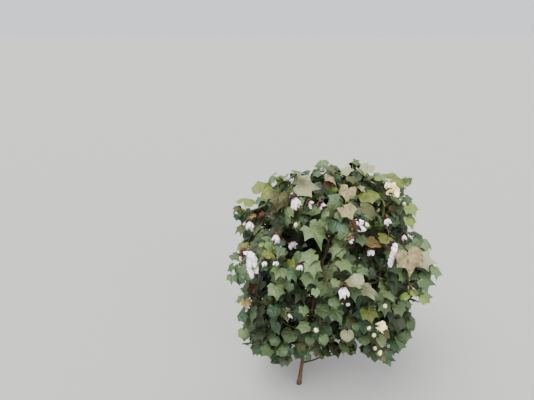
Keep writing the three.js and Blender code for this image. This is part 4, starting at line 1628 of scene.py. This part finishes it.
# ---------------------------------------------------------------- materials -------------
class Look:
    """Builds one procedural material. level is a share by which all its colours are lowered."""

    def __init__(self, name, level=0.58):
        self.level = level * (vec(1.05, 1.0, 0.94) if level < 1 else vec(1, 1, 1))
        self.mat = bpy.data.materials.new(name)
        self.mat.use_nodes = True
        self.tree = self.mat.node_tree
        self.shader = self.tree.nodes["Principled BSDF"]
        self.coords = self.node("ShaderNodeTexCoord").outputs["Object"]

    def node(self, kind, **sockets):
        n = self.tree.nodes.new(kind)
        for k, v in sockets.items():
            key = int(k[1:]) if k[0] == "i" and k[1:].isdigit() else k.replace("_", " ")
            self.put(n.inputs[key], v)
        return n

    def put(self, socket, v):
        if isinstance(v, bpy.types.NodeSocket):
            self.tree.links.new(v, socket)
        else:
            socket.default_value = v

    def attribute(self, name):
        n = self.tree.nodes.new("ShaderNodeAttribute")
        n.attribute_name = name
        return n

    def math(self, op, a, b=0.0, clamp=False):
        n = self.node("ShaderNodeMath", i0=a, i1=b)
        n.operation, n.use_clamp = op, clamp
        return n.outputs[0]

    def ramp(self, x, lo, hi, a=0.0, b=1.0):
        n = self.node("ShaderNodeMapRange", i0=x, i1=lo, i2=hi, i3=a, i4=b)
        n.interpolation_type = "SMOOTHSTEP"
        return n.outputs[0]

    def blend(self, t, a, b, mode="MIX"):
        n = self.tree.nodes.new("ShaderNodeMix")
        n.data_type, n.blend_type = "RGBA", mode
        self.put(n.inputs[0], t)
        for i, c in ((6, a), (7, b)):
            self.put(n.inputs[i], (*[float(x) for x in np.array(c) * self.level], 1.0) if isinstance(c, tuple) else c)
        return n.outputs[2]

    def cloud(self, scale, detail=3.0, rough=0.55, where=None, stretch=None):
        where = self.coords if where is None else where
        if stretch:
            where = self.node("ShaderNodeMapping", Vector=where, Scale=stretch).outputs[0]
        n = self.node("ShaderNodeTexNoise", Vector=where, Scale=scale, Detail=detail, Roughness=rough)
        return n.outputs["Fac"]

    def bump(self, height, strength, distance):
        n = self.node("ShaderNodeBump", Height=height, Strength=strength, Distance=distance)
        self.put(self.shader.inputs["Normal"], n.outputs[0])

    def finish(self, colour, rough, specular=0.5, sheen=0.0, sheen_rough=0.5):
        s = self.shader.inputs
        self.put(s["Base Color"], colour)
        self.put(s["Roughness"], rough)
        s["Specular IOR Level"].default_value = specular
        s["Sheen Weight"].default_value = sheen
        s["Sheen Roughness"].default_value = sheen_rough
        return self.mat


def leaf_look(kind, dark, light, under, vein, spot=None, spots=0.0, rough=0.46, sheen=0.0):
    k = Look("leaf_" + kind)
    parts = k.node("ShaderNodeSeparateXYZ", i0=k.attribute("vein").outputs["Vector"])
    s, d, tone = parts.outputs[0], parts.outputs[1], parts.outputs[2]
    below = k.attribute("under").outputs["Fac"]
    blotch = k.cloud(34, 4, 0.6)
    fine = k.cloud(420, 2, 0.5)
    tint = k.math("MULTIPLY_ADD", tone, 0.30)
    tint = k.math("ADD", tint, k.ramp(blotch, 0.3, 0.7, 0.1, 0.9))
    colour = k.blend(k.ramp(tint, 0.0, 1.1), dark, light)
    colour = k.blend(k.ramp(fine, 0.45, 0.75, 0.0, 0.25), colour, vein)
    # paler cells between the side veins, which leave the main ones at half a right angle
    phase = k.math("FRACT", k.math("MULTIPLY", k.math("SUBTRACT", s, k.math("MULTIPLY", d, 0.95)), 8.0))
    side = k.math("ABSOLUTE", k.math("SUBTRACT", phase, 0.5))
    side = k.ramp(side, 0.0, 0.09, 1.0, 0.0)
    side = k.math("MULTIPLY", side, k.ramp(d, 0.0, 0.05, 0.0, 1.0))
    width = k.math("MULTIPLY_ADD", s, -0.011)
    width.node.inputs[2].default_value = 0.020
    main = k.math("SUBTRACT", 1.0, k.math("DIVIDE", d, k.math("MAXIMUM", width, 0.004)), clamp=True)
    lines = k.math("MAXIMUM", k.math("MULTIPLY", main, 1.0), k.math("MULTIPLY", side, 0.42), clamp=True)
    colour = k.blend(k.math("MULTIPLY", lines, 0.62), colour, vein)
    if spot:
        patch = k.ramp(k.cloud(60, 5, 0.7), 0.62 - 0.25 * spots, 0.78 - 0.2 * spots)
        colour = k.blend(patch, colour, spot)
    colour = k.blend(k.math("MULTIPLY", below, 0.8), colour, under)
    gloss = k.ramp(k.cloud(90, 3, 0.6), 0.3, 0.7, rough - 0.07, rough + 0.10)
    gloss = k.math("ADD", gloss, k.math("MULTIPLY", below, 0.15))
    height = k.math("ADD", k.math("MULTIPLY", lines, -0.7), k.math("MULTIPLY", k.cloud(260, 3, 0.6), 0.5))
    k.bump(height, 0.5, 0.0012)
    return k.finish(colour, gloss, 0.38, sheen, 0.5)


def wood_look(name, dark, light, ridge, scale, rough):
    k = Look(name)
    parts = k.node("ShaderNodeSeparateXYZ", i0=k.attribute("vein").outputs["Vector"])
    along, height, tone = parts.outputs
    grain = k.cloud(scale, 6, 0.65, stretch=(1.0, 1.0, 0.12))
    patch = k.cloud(scale * 0.3, 4, 0.6)
    tint = k.math("MULTIPLY_ADD", tone, 0.12)
    tint = k.math("ADD", tint, k.ramp(grain, 0.3, 0.7, -0.1, 1.0))
    colour = k.blend(k.ramp(tint, 0.0, 1.0), dark, light)
    colour = k.blend(k.ramp(patch, 0.45, 0.7, 0.0, 0.6), colour, ridge)
    # painted shade: much darker down in the cracks of the relief; paler up on its raised ridges
    colour = k.blend(k.ramp(height, -0.10, 0.02, 0.80, 0.0), colour, tuple(0.45 * c for c in dark))
    colour = k.blend(k.ramp(height, 0.06, 0.16, 0.0, 0.45), colour, tuple(1.25 * c for c in light))
    # pale breathing pores
    pores = k.node("ShaderNodeTexVoronoi", Vector=k.node("ShaderNodeMapping", Vector=k.coords, Scale=(1, 1, 0.5)).outputs[0], Scale=scale * 1.6)
    dots = k.ramp(pores.outputs["Distance"], 0.10, 0.22, 0.7, 0.0)
    colour = k.blend(dots, colour, light)
    k.bump(k.math("ADD", grain, k.math("MULTIPLY", dots, 0.4)), 0.9, 0.0016)
    return k.finish(colour, k.ramp(grain, 0.3, 0.7, rough + 0.08, rough - 0.06), 0.35)


LEAF_LOOKS = {
    # the "inner" colours are dark: painted shade, for leaves deep in the crown and in its hollows
    "inner": leaf_look("inner", (0.030, 0.052, 0.027), (0.078, 0.112, 0.060), (0.080, 0.105, 0.068), (0.090, 0.115, 0.066), (0.070, 0.060, 0.030), 0.3),
    "moss": leaf_look("moss", (0.092, 0.122, 0.022), (0.215, 0.262, 0.070), (0.240, 0.280, 0.130), (0.300, 0.350, 0.130), (0.170, 0.130, 0.040), 0.2, rough=0.46),
    "deep": leaf_look("deep", (0.026, 0.066, 0.034), (0.054, 0.112, 0.056), (0.135, 0.195, 0.125), (0.130, 0.215, 0.120), rough=0.40),
    "green": leaf_look("green", (0.050, 0.102, 0.047), (0.115, 0.185, 0.092), (0.190, 0.255, 0.155), (0.220, 0.310, 0.160), rough=0.44),
    "fresh": leaf_look("fresh", (0.084, 0.150, 0.064), (0.184, 0.268, 0.132), (0.240, 0.320, 0.175), (0.310, 0.400, 0.190), rough=0.46),
    "young": leaf_look("young", (0.120, 0.205, 0.042), (0.225, 0.320, 0.085), (0.300, 0.385, 0.165), (0.360, 0.440, 0.170), rough=0.48),
    "pale": leaf_look("pale", (0.185, 0.220, 0.120), (0.395, 0.425, 0.275), (0.440, 0.450, 0.320), (0.520, 0.530, 0.370), (0.260, 0.230, 0.115), 0.2, rough=0.58),
    "tan": leaf_look("tan", (0.205, 0.180, 0.098), (0.425, 0.385, 0.240), (0.385, 0.345, 0.225), (0.520, 0.470, 0.305), (0.135, 0.118, 0.060), 0.42, rough=0.68),
    "russet": leaf_look("russet", (0.055, 0.026, 0.018), (0.150, 0.066, 0.042), (0.200, 0.125, 0.090), (0.230, 0.125, 0.078), (0.035, 0.018, 0.014), 0.3, rough=0.62),
    "gold": leaf_look("gold", (0.180, 0.145, 0.060), (0.390, 0.310, 0.145), (0.360, 0.300, 0.180), (0.450, 0.370, 0.190), (0.150, 0.072, 0.032), 0.35, rough=0.55),
    "olive": leaf_look("olive", (0.052, 0.068, 0.025), (0.122, 0.136, 0.058), (0.210, 0.225, 0.130), (0.250, 0.260, 0.125), (0.130, 0.075, 0.035), 0.3, rough=0.50),
}  # fmt: skip

stem_look = wood_look("stem_bark_look", (0.050, 0.030, 0.019), (0.205, 0.142, 0.086), (0.120, 0.096, 0.064), 260, 0.76)
bough_look = wood_look("bough_bark_look", (0.052, 0.026, 0.018), (0.180, 0.106, 0.064), (0.110, 0.090, 0.050), 340, 0.68)
twig_look = wood_look("twig_look", (0.085, 0.055, 0.030), (0.185, 0.165, 0.075), (0.150, 0.070, 0.045), 420, 0.58)


def stalk_look():
    k = Look("leaf_stalk_look")
    parts = k.node("ShaderNodeSeparateXYZ", i0=k.attribute("vein").outputs["Vector"])
    along, tone = parts.outputs[0], parts.outputs[2]
    warm = k.math("ADD", k.ramp(k.cloud(60, 3), 0.35, 0.65, -0.3, 0.6), k.math("MULTIPLY", tone, 0.5))
    colour = k.blend(k.ramp(warm, -0.1, 0.9), (0.150, 0.200, 0.070), (0.190, 0.080, 0.050))
    colour = k.blend(k.ramp(k.cloud(900, 2), 0.55, 0.7, 0.0, 0.35), colour, (0.060, 0.030, 0.020))
    k.bump(k.cloud(700, 3, 0.6, stretch=(1, 1, 0.3)), 0.4, 0.0005)
    return k.finish(colour, k.ramp(k.cloud(200), 0.3, 0.7, 0.42, 0.6), 0.45)


def lint_look(name, base=(0.985, 0.895, 0.945)):
    k = Look(name, 1.0)
    parts = k.node("ShaderNodeSeparateXYZ", i0=k.attribute("vein").outputs["Vector"])
    painted_crease_shade, tone = parts.outputs[0], parts.outputs[2]
    wisps = k.cloud(520, 5, 0.7)
    colour = k.blend(k.ramp(wisps, 0.3, 0.7), (0.91, 0.79, 0.86), base)
    # painted shade: where the lump height kept in vein is low, in the creases, the lint turns a darker mauve; the loose
    # fibres, whose value is 0, get it at full strength all over
    colour = k.blend(k.ramp(painted_crease_shade, 0.05, 0.42, 0.55, 0.0), colour, (0.66, 0.54, 0.62))
    colour = k.blend(k.ramp(k.cloud(70, 4, 0.6), 0.64, 0.82, 0.0, 0.25), colour, (0.74, 0.64, 0.56))
    k.shader.inputs["Subsurface Weight"].default_value = 0.35
    k.shader.inputs["Subsurface Radius"].default_value = (1.0, 0.9, 0.95)
    k.shader.inputs["Subsurface Scale"].default_value = 0.004
    k.bump(k.math("ADD", wisps, k.math("MULTIPLY", k.cloud(1500, 3, 0.7), 0.7)), 0.9, 0.0022)
    return k.finish(colour, k.ramp(wisps, 0.3, 0.7, 0.86, 0.98), 0.2, 0.35, 0.6)


def burr_look():
    k = Look("burr_look")
    parts = k.node("ShaderNodeSeparateXYZ", i0=k.attribute("vein").outputs["Vector"])
    along, edge, tone = parts.outputs[0], parts.outputs[1], parts.outputs[2]
    outside = k.attribute("under").outputs["Fac"]
    grain = k.cloud(300, 5, 0.65)
    purple = k.blend(k.ramp(grain, 0.3, 0.7), (0.034, 0.010, 0.020), (0.115, 0.046, 0.066))
    brown = k.blend(k.ramp(grain, 0.3, 0.7), (0.100, 0.034, 0.018), (0.330, 0.140, 0.070))
    colour = k.blend(k.ramp(tone, -0.4, 1.0), purple, brown)
    colour = k.blend(k.ramp(edge, 0.7, 1.0, 0.0, 0.55), colour, (0.190, 0.105, 0.070))
    inner = k.blend(k.ramp(grain, 0.3, 0.7), (0.085, 0.045, 0.040), (0.200, 0.130, 0.095))
    colour = k.blend(k.math("MULTIPLY", k.math("SUBTRACT", 1.0, outside), 0.45), colour, inner)
    colour = k.blend(k.ramp(k.cloud(900, 2), 0.6, 0.72, 0.0, 0.5), colour, (0.020, 0.008, 0.010))
    k.bump(k.math("ADD", grain, k.math("MULTIPLY", k.cloud(1100, 3), 0.5)), 0.6, 0.0012)
    return k.finish(colour, k.ramp(grain, 0.3, 0.7, 0.42, 0.62), 0.5)


def skin_look(name, dark, light, dot, dots=0.5, rough=0.42, scale=500, level=0.58):
    k = Look(name, level)
    parts = k.node("ShaderNodeSeparateXYZ", i0=k.attribute("vein").outputs["Vector"])
    s, d, tone = parts.outputs
    cloud = k.cloud(45, 4, 0.6)
    colour = k.blend(k.math("ADD", k.ramp(cloud, 0.3, 0.7), k.math("MULTIPLY", tone, 0.25)), dark, light)
    pit = k.node("ShaderNodeTexVoronoi", Vector=k.coords, Scale=scale)
    mark = k.ramp(pit.outputs["Distance"], 0.12, 0.26, dots, 0.0)
    colour = k.blend(mark, colour, dot)
    ribs = k.math("ABSOLUTE", k.math("SUBTRACT", k.math("FRACT", k.math("MULTIPLY", d, 9.0)), 0.5))
    k.bump(k.math("ADD", k.math("MULTIPLY", mark, -0.6), k.cloud(300, 3, 0.6)), 0.35, 0.0008)
    return k.finish(colour, k.ramp(cloud, 0.3, 0.7, rough, rough + 0.14), 0.45)


lint_mat = lint_look("lint_look")
fibre_mat = lint_look("fibre_look", (0.96, 0.90, 0.93))
stalk_mat = stalk_look()
burr_mat = burr_look()
dry_bract_mat = skin_look("dry_bract_look", (0.120, 0.062, 0.040), (0.360, 0.250, 0.150), (0.050, 0.024, 0.018), 0.4, 0.66)
bract_mat = skin_look("green_bract_look", (0.120, 0.190, 0.060), (0.300, 0.380, 0.150), (0.070, 0.090, 0.040), 0.3, 0.48)
boll_mat = skin_look("green_boll_look", (0.075, 0.150, 0.040), (0.160, 0.250, 0.070), (0.030, 0.050, 0.022), 0.75, 0.36, 620)
petal_mat = skin_look("petal_look", (0.780, 0.720, 0.450), (0.900, 0.870, 0.690), (0.800, 0.730, 0.470), 0.20, 0.50, level=0.95)

# ---------------------------------------------------------------- objects ---------------
made = {
    "stem": stem_piece.build(stem_look),
    "boughs": bough_piece.build(bough_look),
    "twigs": twig_piece.build(twig_look),
    "stalks": stalk_piece.build(stalk_mat),
    "lint": lint_piece.build(lint_mat),
    "fibres": fibre_piece.build(fibre_mat),
    "burrs": burr_piece.build(burr_mat),
    "dry_bracts": dry_bract_piece.build(dry_bract_mat),
    "bracts": bract_piece.build(bract_mat),
    "bolls": boll_piece.build(boll_mat),
    "petals": petal_piece.build(petal_mat),
}
for kind, piece in leaves.items():
    if piece.count:
        made["leaves_" + kind] = piece.build(LEAF_LOOKS[kind])

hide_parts("main_stem")
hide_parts(*[m.bough for m in masses if m.bough])
all_masses = [m.node for m in masses]
for key in ("leaves_green", "leaves_fresh", "twigs", "stalks"):
    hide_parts(*all_masses)

print("TRIANGLES", sum(len(o.data.polygons) for o in made.values()), "LEAVES", sum(len(m.targets) for m in masses), "FRUIT", len(fruits))

# ---------------------------------------------------------------- floor, light, camera --
floor_mesh = bpy.data.meshes.new("floor")
R = 30.0
floor_mesh.from_pydata([(-R, -R, 0), (R, -R, 0), (R, R, 0), (-R, R, 0)], [], [(0, 1, 2, 3)])
floor = bpy.data.objects.new("floor", floor_mesh)
bpy.context.scene.collection.objects.link(floor)
pale = bpy.data.materials.new("pale_floor")
pale.use_nodes = True
pale.node_tree.nodes["Principled BSDF"].inputs["Base Color"].default_value = (0.35, 0.35, 0.34, 1)
pale.node_tree.nodes["Principled BSDF"].inputs["Roughness"].default_value = 0.95
floor_mesh.materials.append(pale)

world = bpy.data.worlds.new("studio")
bpy.context.scene.world = world
world.use_nodes = True
world.node_tree.nodes["Background"].inputs["Color"].default_value = (0.94, 0.965, 1.0, 1)
world.node_tree.nodes["Background"].inputs["Strength"].default_value = 0.84


def soft_sun(name, way, spread, strength, colour):
    """Light from one side of a large studio: soft, and even over the whole floor."""
    data = bpy.data.lights.new(name, "SUN")
    data.angle, data.energy, data.color = math.radians(spread), strength, colour
    obj = bpy.data.objects.new(name, data)
    obj.rotation_mode = "QUATERNION"
    obj.rotation_quaternion = Vector(way).to_track_quat("-Z", "Y")
    bpy.context.scene.collection.objects.link(obj)


soft_sun("key_light", (0.45, 0.50, -1.3), 38, 3.65, (1.0, 0.985, 0.965))
soft_sun("fill_light", (-0.35, 1.0, -0.55), 70, 1.65, (1.0, 0.985, 0.985))
soft_sun("back_light", (-0.2, -0.9, -1.1), 60, 0.8, (1.0, 1.0, 1.0))
bpy.context.scene.view_settings.view_transform = "AgX"
bpy.context.scene.view_settings.look = "AgX - Medium High Contrast"

camera_data = bpy.data.cameras.new("camera")
camera_data.sensor_width = 36.0
camera_data.lens = 36.0 * FOCAL / WIDE
camera_data.clip_start, camera_data.clip_end = 0.01, 200
camera = bpy.data.objects.new("camera", camera_data)
camera.location = CAM
camera.rotation_euler = (math.pi / 2 - PITCH, 0, 0)
bpy.context.scene.collection.objects.link(camera)
bpy.context.scene.camera = camera
